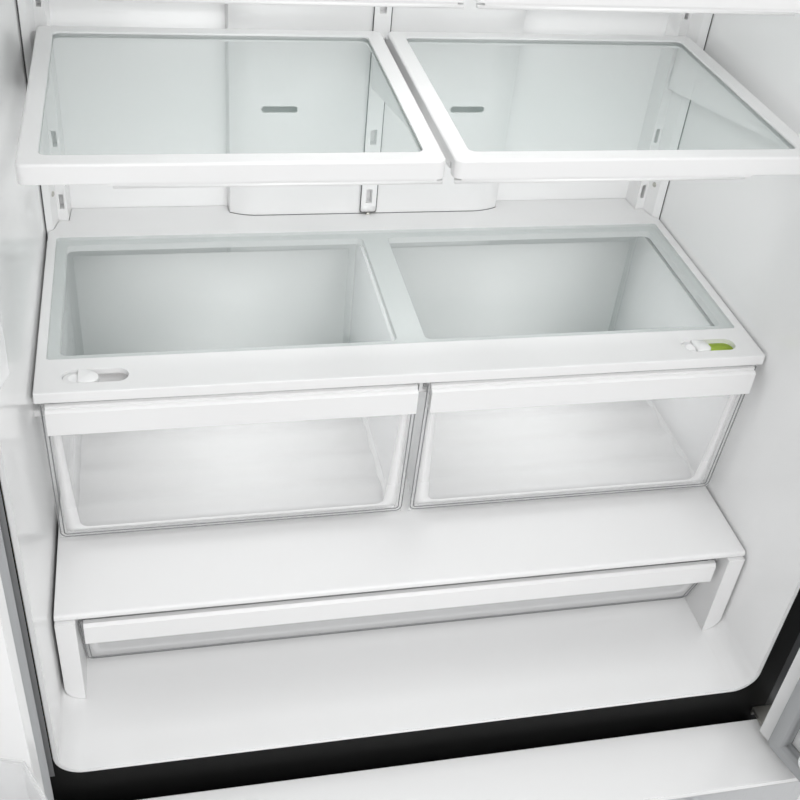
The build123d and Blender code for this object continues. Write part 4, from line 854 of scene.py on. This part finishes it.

# %% [markdown]
# ## Fronts of the pans
# A clear pan is moulded in one piece. Two fine lines run round its front where the wall steps,
# and a pale band, widest at its foot, paints the lamp light that falls into the pan below the
# shadow of the front bar. The lines could be cut into the solid, but they are finer than its wall,
# so they and the band are drawn on it: every point is given across and up the front, and one
# function lays it in the slope that the pan's own corners have.

# %% Where a pan's front lies
foot_zone = 0.02
pan_wall = 0.0026


class PanFront:
    """The sloping front of a pan: its width, its height, and the way to lay points on it."""

    def __init__(self, node):
        low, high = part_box(node)
        near_foot = [v.co for v in nodes[node].data.vertices if v.co.z < low.z + foot_zone]
        foot_point = min(near_foot, key=lambda point: point.y)
        lean = (foot_point.y - low.y) / (high.z - foot_point.z)
        slope = Vector((0, -lean, 1)) * (high.z - low.z)
        self.foot = Vector(((low.x + high.x) / 2, low.y - slope.y, low.z))
        self.up = slope.normalized()
        self.outward = Vector((0, -self.up.z, self.up.y))
        self.width = high.x - low.x
        self.height = slope.length
        self.rise = foot_point.z - low.z

    def lay(self, x, z, out=0.0):
        """A point across and up the front, moved out of its surface."""
        return self.foot + Vector((x, 0, 0)) + self.up * z + self.outward * out


def front_path(width, height, inset, lean, sill, corner, steps=6):
    """Points (across, up) down one side of a front, along its foot and up again."""
    half = width / 2 - inset
    side = []
    for step in range(steps + 1):
        share = step / steps
        across = half - lean[0] - (lean[1] - lean[0]) * share ** 2
        side.append((across, height - (height - sill - corner) * share))
    foot_x = side[-1][0]
    for step in range(1, steps + 1):
        angle = math.pi / 2 * step / steps
        across = foot_x - corner * (1 - math.cos(angle))
        side.append((across, sill + corner * (1 - math.sin(angle))))
    return [(-x, z) for x, z in side] + list(reversed(side))


print("deli pan front", round(PanFront("deli_pan").height, 4), "high")

# %% Lines and painted light bands
line_radius = 0.0006
line_corner = 0.009
line_insets = (0.0012, 0.0052)
line_sill = 0.4
painted_light_inset = 0.007
painted_light_top = 0.009
painted_light_foot = 0.016
painted_light_sill = 0.005
thin_sheet_depth = 0.0006
painted_light_gap = 0.0002


def draw_front(node, body, lean):
    """The two lines and the pale band of painted light on one pan's front."""
    front = PanFront(node)
    for number, inset in enumerate(line_insets):
        path = front_path(front.width, front.height, inset, (0, 0),
                          front.rise * line_sill + inset, line_corner - inset)
        points = [front.lay(x, z) for x, z in path]
        bead(f"{node}_line_{number + 1}", points, line_radius, body, "pan_line", False)
    sill = front.rise + painted_light_inset
    outer = front_path(front.width, front.height, painted_light_inset, (0, 0), sill,
                       line_corner - line_insets[1])
    inner = front_path(front.width, front.height, painted_light_inset, lean, sill + painted_light_sill, line_corner)
    near = -pan_wall - painted_light_gap
    deep = -pan_wall - thin_sheet_depth

    # Painted light: a pale sheet inside the front wall, widest at its foot, for the lamp light that falls in below
    # the front bar's shadow.
    def fill_painted_light(bm):
        loft(bm, [[front.lay(*a, near), front.lay(*b, near), front.lay(*b, deep),
                   front.lay(*a, deep)] for a, b in zip(outer, inner)])
    put(node + "_web", new_mesh(node + "_web", fill_painted_light), body, "pan_web")
    print(node, "front", round(front.width, 3), "by", round(front.height, 3))


draw_front("left_crisper_pan", "left_crisper", (painted_light_top, painted_light_foot))
draw_front("right_crisper_pan", "right_crisper", (painted_light_top, painted_light_foot))
draw_front("deli_pan", "pantry_drawer", (painted_light_top / 2, painted_light_foot / 2))

# %% [markdown]
# ## Ribbed floors of the crisper pans
#
# The floor of a crisper is frosted and has broad soft ribs that keep the food out of the wet.
# A wave of quads along a cosine gives them real height, so they show from every side. The same
# strip runs on up the back, which is frosted too.

# %% Ribbed floors
rib_count = 6
rib_steps = 8
rib_rise = 0.007
floor_zone = 0.008
sole_zone = 0.001
floor_side_gap = 0.02
floor_lift = 0.0003
back_drop = 0.028


def pan_floor_mesh(name, node):
    """A strip that waves along the floor of a pan and climbs its back wall."""
    low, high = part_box(node)
    points = [v.co for v in nodes[node].data.vertices]
    floor_level = max(round(p.z, 5) for p in points if p.z < low.z + floor_zone) + floor_lift
    foot_y = min(p.y for p in points if p.z < low.z + sole_zone) + 3 * pan_wall
    back_y = high.y - 2 * pan_wall
    left = low.x + floor_side_gap
    right = high.x - floor_side_gap
    rows = rib_count * rib_steps

    def fill(bm):
        sections = []
        for row in range(rows + 1):
            share = row / rows
            y = foot_y + (back_y - foot_y) * share
            z = floor_level + rib_rise * (1 - math.cos(2 * math.pi * rib_count * share)) / 2
            under = z - thin_sheet_depth
            sections.append([(left, y, z), (right, y, z), (right, y, under), (left, y, under)])
        near = back_y + pan_wall / 2
        far = near + thin_sheet_depth
        for z in (floor_level + pan_wall, high.z - back_drop):
            sections.append([(left, near, z), (right, near, z), (right, far, z), (left, far, z)])
        loft(bm, sections)
    return new_mesh(name, fill)


for word in ("left", "right"):
    floor_name = word + "_pan_floor"
    put(floor_name, pan_floor_mesh(floor_name, word + "_crisper_pan"), word + "_crisper",
        "frosted_plastic")
    print(floor_name, "ribs", rib_count)

# %% [markdown]
# ## Painted shade in the joints
#
# Where two white mouldings meet, what shows is the shade inside the gap between them. The gaps of
# the model are narrower than a pixel and their shade does not show, so a thin dark line of painted
# shade is laid into each of the joints that the eye follows: round the foot of the air tower, round
# the middle rail and down the front of the two corner rails. The foot of the middle rail also gets a squarer cap.

# %% Painted shade lines at the joints of the tower and the rails
joint_radius = 0.0006
tower_low, tower_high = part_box("air_tower")
tower_points = [v.co for v in nodes["air_tower"].data.vertices]
tower_front = tower_high.y - 0.001
tower_plan = sorted(point for point in top_outline(tower_points, tower_low.z)
                    if point[1] < tower_front)
# Painted shade: a dark bead round the tower's foot stands for the shadow inside its gap.
bead("tower_gap_shade", [(x, y - joint_radius, cover_edge.z) for x, y in tower_plan], joint_radius,
     "cabinet", "joint_shade", False)

rail_points = [v.co for v in nodes["shelf_rails"].data.vertices]
outer_flank = [point for point in rail_points if point.x > rails_high.x - 0.001]
flank_front = min(point.y for point in outer_flank)
# Painted shade: a dark bead down the front of each corner rail stands for the shadow in its gap.
for side, word in sides:
    x = side * (rails_high.x - joint_radius)
    line = [(x, flank_front, z) for z in (rails_low.z, rails_high.z)]
    bead(word + "_rail_gap_shade", line, joint_radius, "cabinet", "joint_shade", False)
print("tower joint", len(tower_plan), "points")

# %% The middle rail's foot
middle_rail = [point for point in rail_points if abs(point.x) < 0.03]
rail_half = max(point.x for point in middle_rail)
rail_foot = min(point.z for point in middle_rail)
rail_face = min(point.y for point in middle_rail)
rail_corner = 0.003
cap_front = rail_face - 0.0001
cap_back = rail_face + 0.0012
cap_screw_drop = 0.004


def fill_rail_cap(bm):
    """A squarer end over the round foot of the middle rail."""
    flat = rectangle_ring((-rail_half, rail_foot), (rail_half, rail_foot + rail_half), 0,
                          rail_corner, 0)
    loft(bm, [[(x, y, z) for x, z, _ in flat] for y in (cap_front, cap_back)])


put("middle_rail_cap", new_mesh("middle_rail_cap", fill_rail_cap), "cabinet", "rail_white")
joint_y = rail_face + joint_radius
rail_outline = front_path(2 * (rail_half + joint_radius), rails_high.z - rail_foot, 0, (0, 0), 0,
                          rail_corner)
line = [(x, joint_y, rail_foot - joint_radius + z) for x, z in rail_outline]
# Painted shade: a dark bead round the middle rail's foot stands for the shadow in its gap.
bead("middle_rail_gap_shade", line, joint_radius, "cabinet", "joint_shade", False)
put("middle_rail_screw", small_screw, "cabinet", "zinc_steel",
    facing((0, rail_face, rail_foot - cap_screw_drop), (0, -1, 0)))
print("middle rail", round(2 * rail_half, 4), "wide")

# %% [markdown]
# ## The seal's landing
#
# The left door's seal and its flap land on the dark flange beside the liner, and there the
# flange keeps a grey strip. It is only as thick as a coat of paint, so a flat sheet does it.

# %% Grey strip
flange_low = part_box("front_frame")[0]
strip_thickness = 0.0001
strip_width = 0.012
strip_gap = 0.001


def fill_strip(bm):
    """A thin upright strip on the left of the cabinet's flange."""
    near = liner_low.x - strip_gap
    far = near - strip_width
    ring = [(near, 0), (far, 0), (far, -strip_thickness), (near, -strip_thickness)]
    loft(bm, [[(x, flange_low.y + y, z) for x, y in ring] for z in (liner_low.z, liner_high.z)])


put("left_flange_strip", new_mesh("left_flange_strip", fill_strip), "cabinet", "seal_grey")
print("strip", round(liner_high.z - liner_low.z, 3), "high")

# %% [markdown]
# ## Lips under the shelves
#
# A shallow lip hangs under the front bar of each shelf. It stiffens the long bar and reaches
# from the middle over most of the width, so the outer end of the bar stays free. A short
# closed strip for each shelf is enough.

# %% Lips
shelf_low, shelf_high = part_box("shelf_frames")
shelf_inner = min(v.co.x for v in nodes["shelf_frames"].data.vertices if v.co.x > 0)
bar_height = 0.022
lip_share = 0.79
lip_drop = 0.0022
lip_edge = 0.0006
lip_near = shelf_low.y + 0.0008
lip_far = shelf_low.y + 0.006
lip_start = shelf_inner + 0.002
lip_end = shelf_inner + lip_share * (shelf_high.x - shelf_inner)


def lip_mesh(name, side, level):
    """One closed strip under a bar, from the middle outward."""
    top = level + 0.001
    bottom = level - lip_drop
    section = [(lip_near, top), (lip_near, bottom + lip_edge), (lip_near + lip_edge, bottom),
               (lip_far, bottom), (lip_far, top)]

    def fill(bm):
        loft(bm, [[(side * x, y, z) for y, z in section] for x in (lip_start, lip_end)])
    return new_mesh(name, fill)


for row, level in enumerate((shelf_low.z, shelf_high.z - bar_height)):
    for side, word in sides:
        name = f"{word}_shelf_lip_{row + 1}"
        put(name, lip_mesh(name, side, level), "cabinet", "trim_white")
print("lips reach", round(lip_end, 3))

# %% [markdown]
# ## Light lens
#
# The compartment's lamps shine through a frosted lens in the underside of the housing. The
# lens is a shallow dome with a flat flange, and it glows a little.

# %% Lens
lens_corner = 0.032
lens_profile = (
    (0.0, 0.0), (0.0, 0.0016), (0.004, 0.0022), (0.006, 0.0038), (0.014, 0.0062), (0.03, 0.008),
)


def lens_mesh(name, low, high):
    """A flange and a low dome over a rounded rectangle, facing down."""
    def fill(bm):
        loft(bm, [rectangle_ring((low.x, low.y), (high.x, high.y), inset, lens_corner,
                                 low.z - drop) for inset, drop in lens_profile])
    return new_mesh(name, fill)


lens_material = moulding("lamp_lens", (0.93, 0.94, 0.95), 0.45, 0.001, (1500, 0.0001))
lens_shader = lens_material.node_tree.nodes["Principled BSDF"]
lens_shader.inputs["Emission Color"].default_value = (1.0, 0.98, 0.95, 1)
lens_shader.inputs["Emission Strength"].default_value = 0.9
materials["lamp_lens"] = lens_material
low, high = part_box("control_housing")
lens_inset = Vector((0.07, 0.035, 0))
lens_low = low + lens_inset
lens_high = Vector((high.x, high.y, low.z)) - lens_inset
put("light_lens", lens_mesh("light_lens", lens_low, lens_high), "cabinet", "lamp_lens")
print("lens", round(lens_high.x - lens_low.x, 3), "wide")

# %% [markdown]
# ## Feet and rollers
#
# The front legs are turned from bar: a flat pad, a neck and a threaded stud. The rear rollers
# have a grooved tread and a recessed hub on a plain axle. Both replace the CAD pieces, which
# have the same outside sizes.

# %% Feet
def turned_piece(bm, profile, matrix, steps=32):
    """A lathe-turned solid, from radii and heights, put in place by a matrix."""
    loft(bm, [[matrix @ Vector(point) for point in circle_ring(radius, height, steps)]
              for radius, height in profile])


legs_low, legs_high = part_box("levelling_legs")
leg_pad = 0.02
leg_stud = 0.006
leg_middle = Vector((legs_high.x - leg_pad, (legs_low.y + legs_high.y) / 2, legs_low.z))
leg_profile = [
    (leg_pad - 0.001, 0), (leg_pad, 0.001), (leg_pad, 0.0055), (leg_pad - 0.002, 0.0075),
    (0.011, 0.008), (0.011, 0.0125), (leg_stud, 0.013),
]
thread_pitch = 0.0015
thread_start = 0.0134
thread_depth = 0.0006
turn_count = int((legs_high.z - 0.016) / thread_pitch)
for turn in range(turn_count):
    crest = thread_start + turn * thread_pitch
    leg_profile += [(leg_stud, crest), (leg_stud - thread_depth, crest + 0.0007)]
leg_profile += [(leg_stud - 0.001, legs_high.z)]


def fill_feet(bm):
    """The two levelling legs."""
    for side, _ in sides:
        place = Matrix.Translation((side * leg_middle.x, leg_middle.y, leg_middle.z))
        turned_piece(bm, leg_profile, place)


feet = put("levelling_feet", new_mesh("levelling_feet", fill_feet), "legs", "zinc_steel")
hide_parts("levelling_legs")
print("leg threads", turn_count)

# %% Rollers
roller_low, roller_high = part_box("rear_rollers")
roller_radius = (roller_high.z - roller_low.z) / 2
axle_reach = 0.0165
roller_middle = Vector((
    roller_high.x - axle_reach, (roller_low.y + roller_high.y) / 2, roller_low.z + roller_radius,
))
half_tread = [
    (roller_radius - 0.001, 0.0015), (roller_radius, 0.0025), (roller_radius, 0.009),
    (roller_radius - 0.002, 0.011), (0.0175, 0.011), (0.016, 0.0095), (0.009, 0.0085),
]
half_axle = [(0.005, axle_reach - 0.001), (0.0045, axle_reach)]


def both_ends(half):
    """A profile that is the same to both sides of its middle."""
    return [(radius, -height) for radius, height in reversed(half)] + half


tread = both_ends(half_tread)
axle = both_ends(half_axle)


def fill_rollers(bm):
    """The two rear rollers, each with its axle."""
    for side, _ in sides:
        centre = Vector((side * roller_middle.x, roller_middle.y, roller_middle.z))
        across = Matrix.Translation(centre) @ Matrix.Rotation(math.pi / 2, 4, "Y")
        turned_piece(bm, tread, across)
        turned_piece(bm, axle, across)


rollers = put("grooved_rollers", new_mesh("grooved_rollers", fill_rollers), "rollers",
              "roller_grey")
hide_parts("rear_rollers")
print("roller radius", round(roller_radius, 4))

# %% [markdown]
# ## Cooling circuit
#
# Behind the louvred cover the refrigerant runs through bent tube. The coils' straight tubes
# come from CAD; here each pair of ends gets its U-bend, the compressor gets its weld seam,
# and one tube joins the compressor to the condenser.

# %% Bends of the coils
tube_radius = 0.004
tube_rows = 4
bend_overlap = 0.0005


def bend_line(middle, reach, radius, steps=10):
    """A half circle in the level plane that joins two tube ends, bulging along X."""
    line = []
    for step in range(steps + 1):
        angle = math.pi * step / steps - math.pi / 2
        x = middle.x + reach * radius * math.cos(angle)
        line.append((x, middle.y + radius * math.sin(angle), middle.z))
    return line


def coil_bends(name, bottom, height, depth, ends):
    """A U-bend for each row of tubes, at each end of a coil that has one."""
    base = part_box(name)[0].y
    for row in range(tube_rows):
        level = bottom + height * (row + 0.5) / tube_rows
        for side, word, end_x in ends:
            middle = Vector((end_x - side * bend_overlap, base + depth / 2, level))
            bead(f"{name}_{word}_bend_{row + 1}", bend_line(middle, side, depth / 4),
                 tube_radius, "cabinet", "coil_aluminium", closed=False)
    print(name, "bends", tube_rows * len(ends))


fin_margin = 0.01
cold_depth = 0.055
cold_low, cold_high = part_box("evaporator")
coil_bends("evaporator", cold_low.z + fin_margin, cold_high.z - cold_low.z - 2 * fin_margin,
           cold_depth, ((-1, "left", cold_low.x), (1, "right", cold_high.x)))
fins_low, fins_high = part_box("condenser")
coil_bends("condenser", fins_low.z, fins_high.z - fins_low.z, fins_high.y - fins_low.y,
           ((-1, "left", fins_low.x),))

# %% Compressor seam and discharge tube
low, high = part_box("compressor")
shell_x = high.x - 0.09
shell_y = (low.y + high.y) / 2
shell_radius = 0.0752
seam_level = low.z + 0.1
seam_radius = 0.0016
ring = [(shell_x + x, shell_y + y, seam_level) for x, y, _ in circle_ring(shell_radius, 0, 40)]
bead("compressor_seam", ring, seam_radius, "cabinet", "compressor_black")

stub_height = 0.05625
tube_climb = 0.05
tube_steps = 12
stub = Vector((low.x + 0.001, shell_y, low.z + stub_height))
inlet = Vector((fins_high.x - 0.002, fins_low.y + 0.02, stub.z + tube_climb))
line = []
for step in range(tube_steps + 1):
    share = step / tube_steps
    ease = share * share * (3 - 2 * share)
    line.append((stub.x + (inlet.x - stub.x) * share, stub.y + (inlet.y - stub.y) * ease,
                 stub.z + (inlet.z - stub.z) * ease))
bead("discharge_tube", line, tube_radius * 0.8, "cabinet", "coil_aluminium", closed=False)
print("discharge tube", len(line), "points")

# %% [markdown]
# ## The floor
#
# A studio floor is a wide pale sheet. Close to the object it is an ordinary matt surface, so it
# keeps the shadow. Further out it turns into plain white light for what the camera sees, and
# so the edge of the sheet melts into the background.

# %% Floor
low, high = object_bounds()
floor_reach = 30
shadow_reach = 1.6
white_reach = 4.5
bpy.ops.mesh.primitive_plane_add(size=2 * floor_reach, location=(0, 0, low.z))
floor = bpy.context.object
floor.name = "studio_floor"
floor_material = moulding("floor_pale", (0.8, 0.8, 0.8), 0.6)
tree = floor_material.node_tree
place = add_node(tree, "ShaderNodeTexCoord", (-900, -200))
distance = add_node(tree, "ShaderNodeVectorMath", (-700, -200))
distance.operation = "LENGTH"
fade = add_node(tree, "ShaderNodeMapRange", (-500, -200), From_Min=shadow_reach,
                From_Max=white_reach)
fade.interpolation_type = "SMOOTHSTEP"
rays = add_node(tree, "ShaderNodeLightPath", (-700, -400))
visible = add_node(tree, "ShaderNodeMath", (-300, -300))
visible.operation = "MULTIPLY"
white = add_node(tree, "ShaderNodeEmission", (0, -300), Color=pale, Strength=1.0)
mix = add_node(tree, "ShaderNodeMixShader", (300, 0))
link(tree, place.outputs["Object"], distance.inputs[0])
link(tree, distance.outputs["Value"], fade.inputs["Value"])
link(tree, fade.outputs["Result"], visible.inputs[0])
link(tree, rays.outputs["Is Camera Ray"], visible.inputs[1])
link(tree, visible.outputs[0], mix.inputs[0])
link(tree, tree.nodes["Principled BSDF"].outputs[0], mix.inputs[1])
link(tree, white.outputs[0], mix.inputs[2])
link(tree, mix.outputs[0], tree.nodes["Material Output"].inputs["Surface"])
floor.data.materials.append(floor_material)
print("floor", 2 * floor_reach)
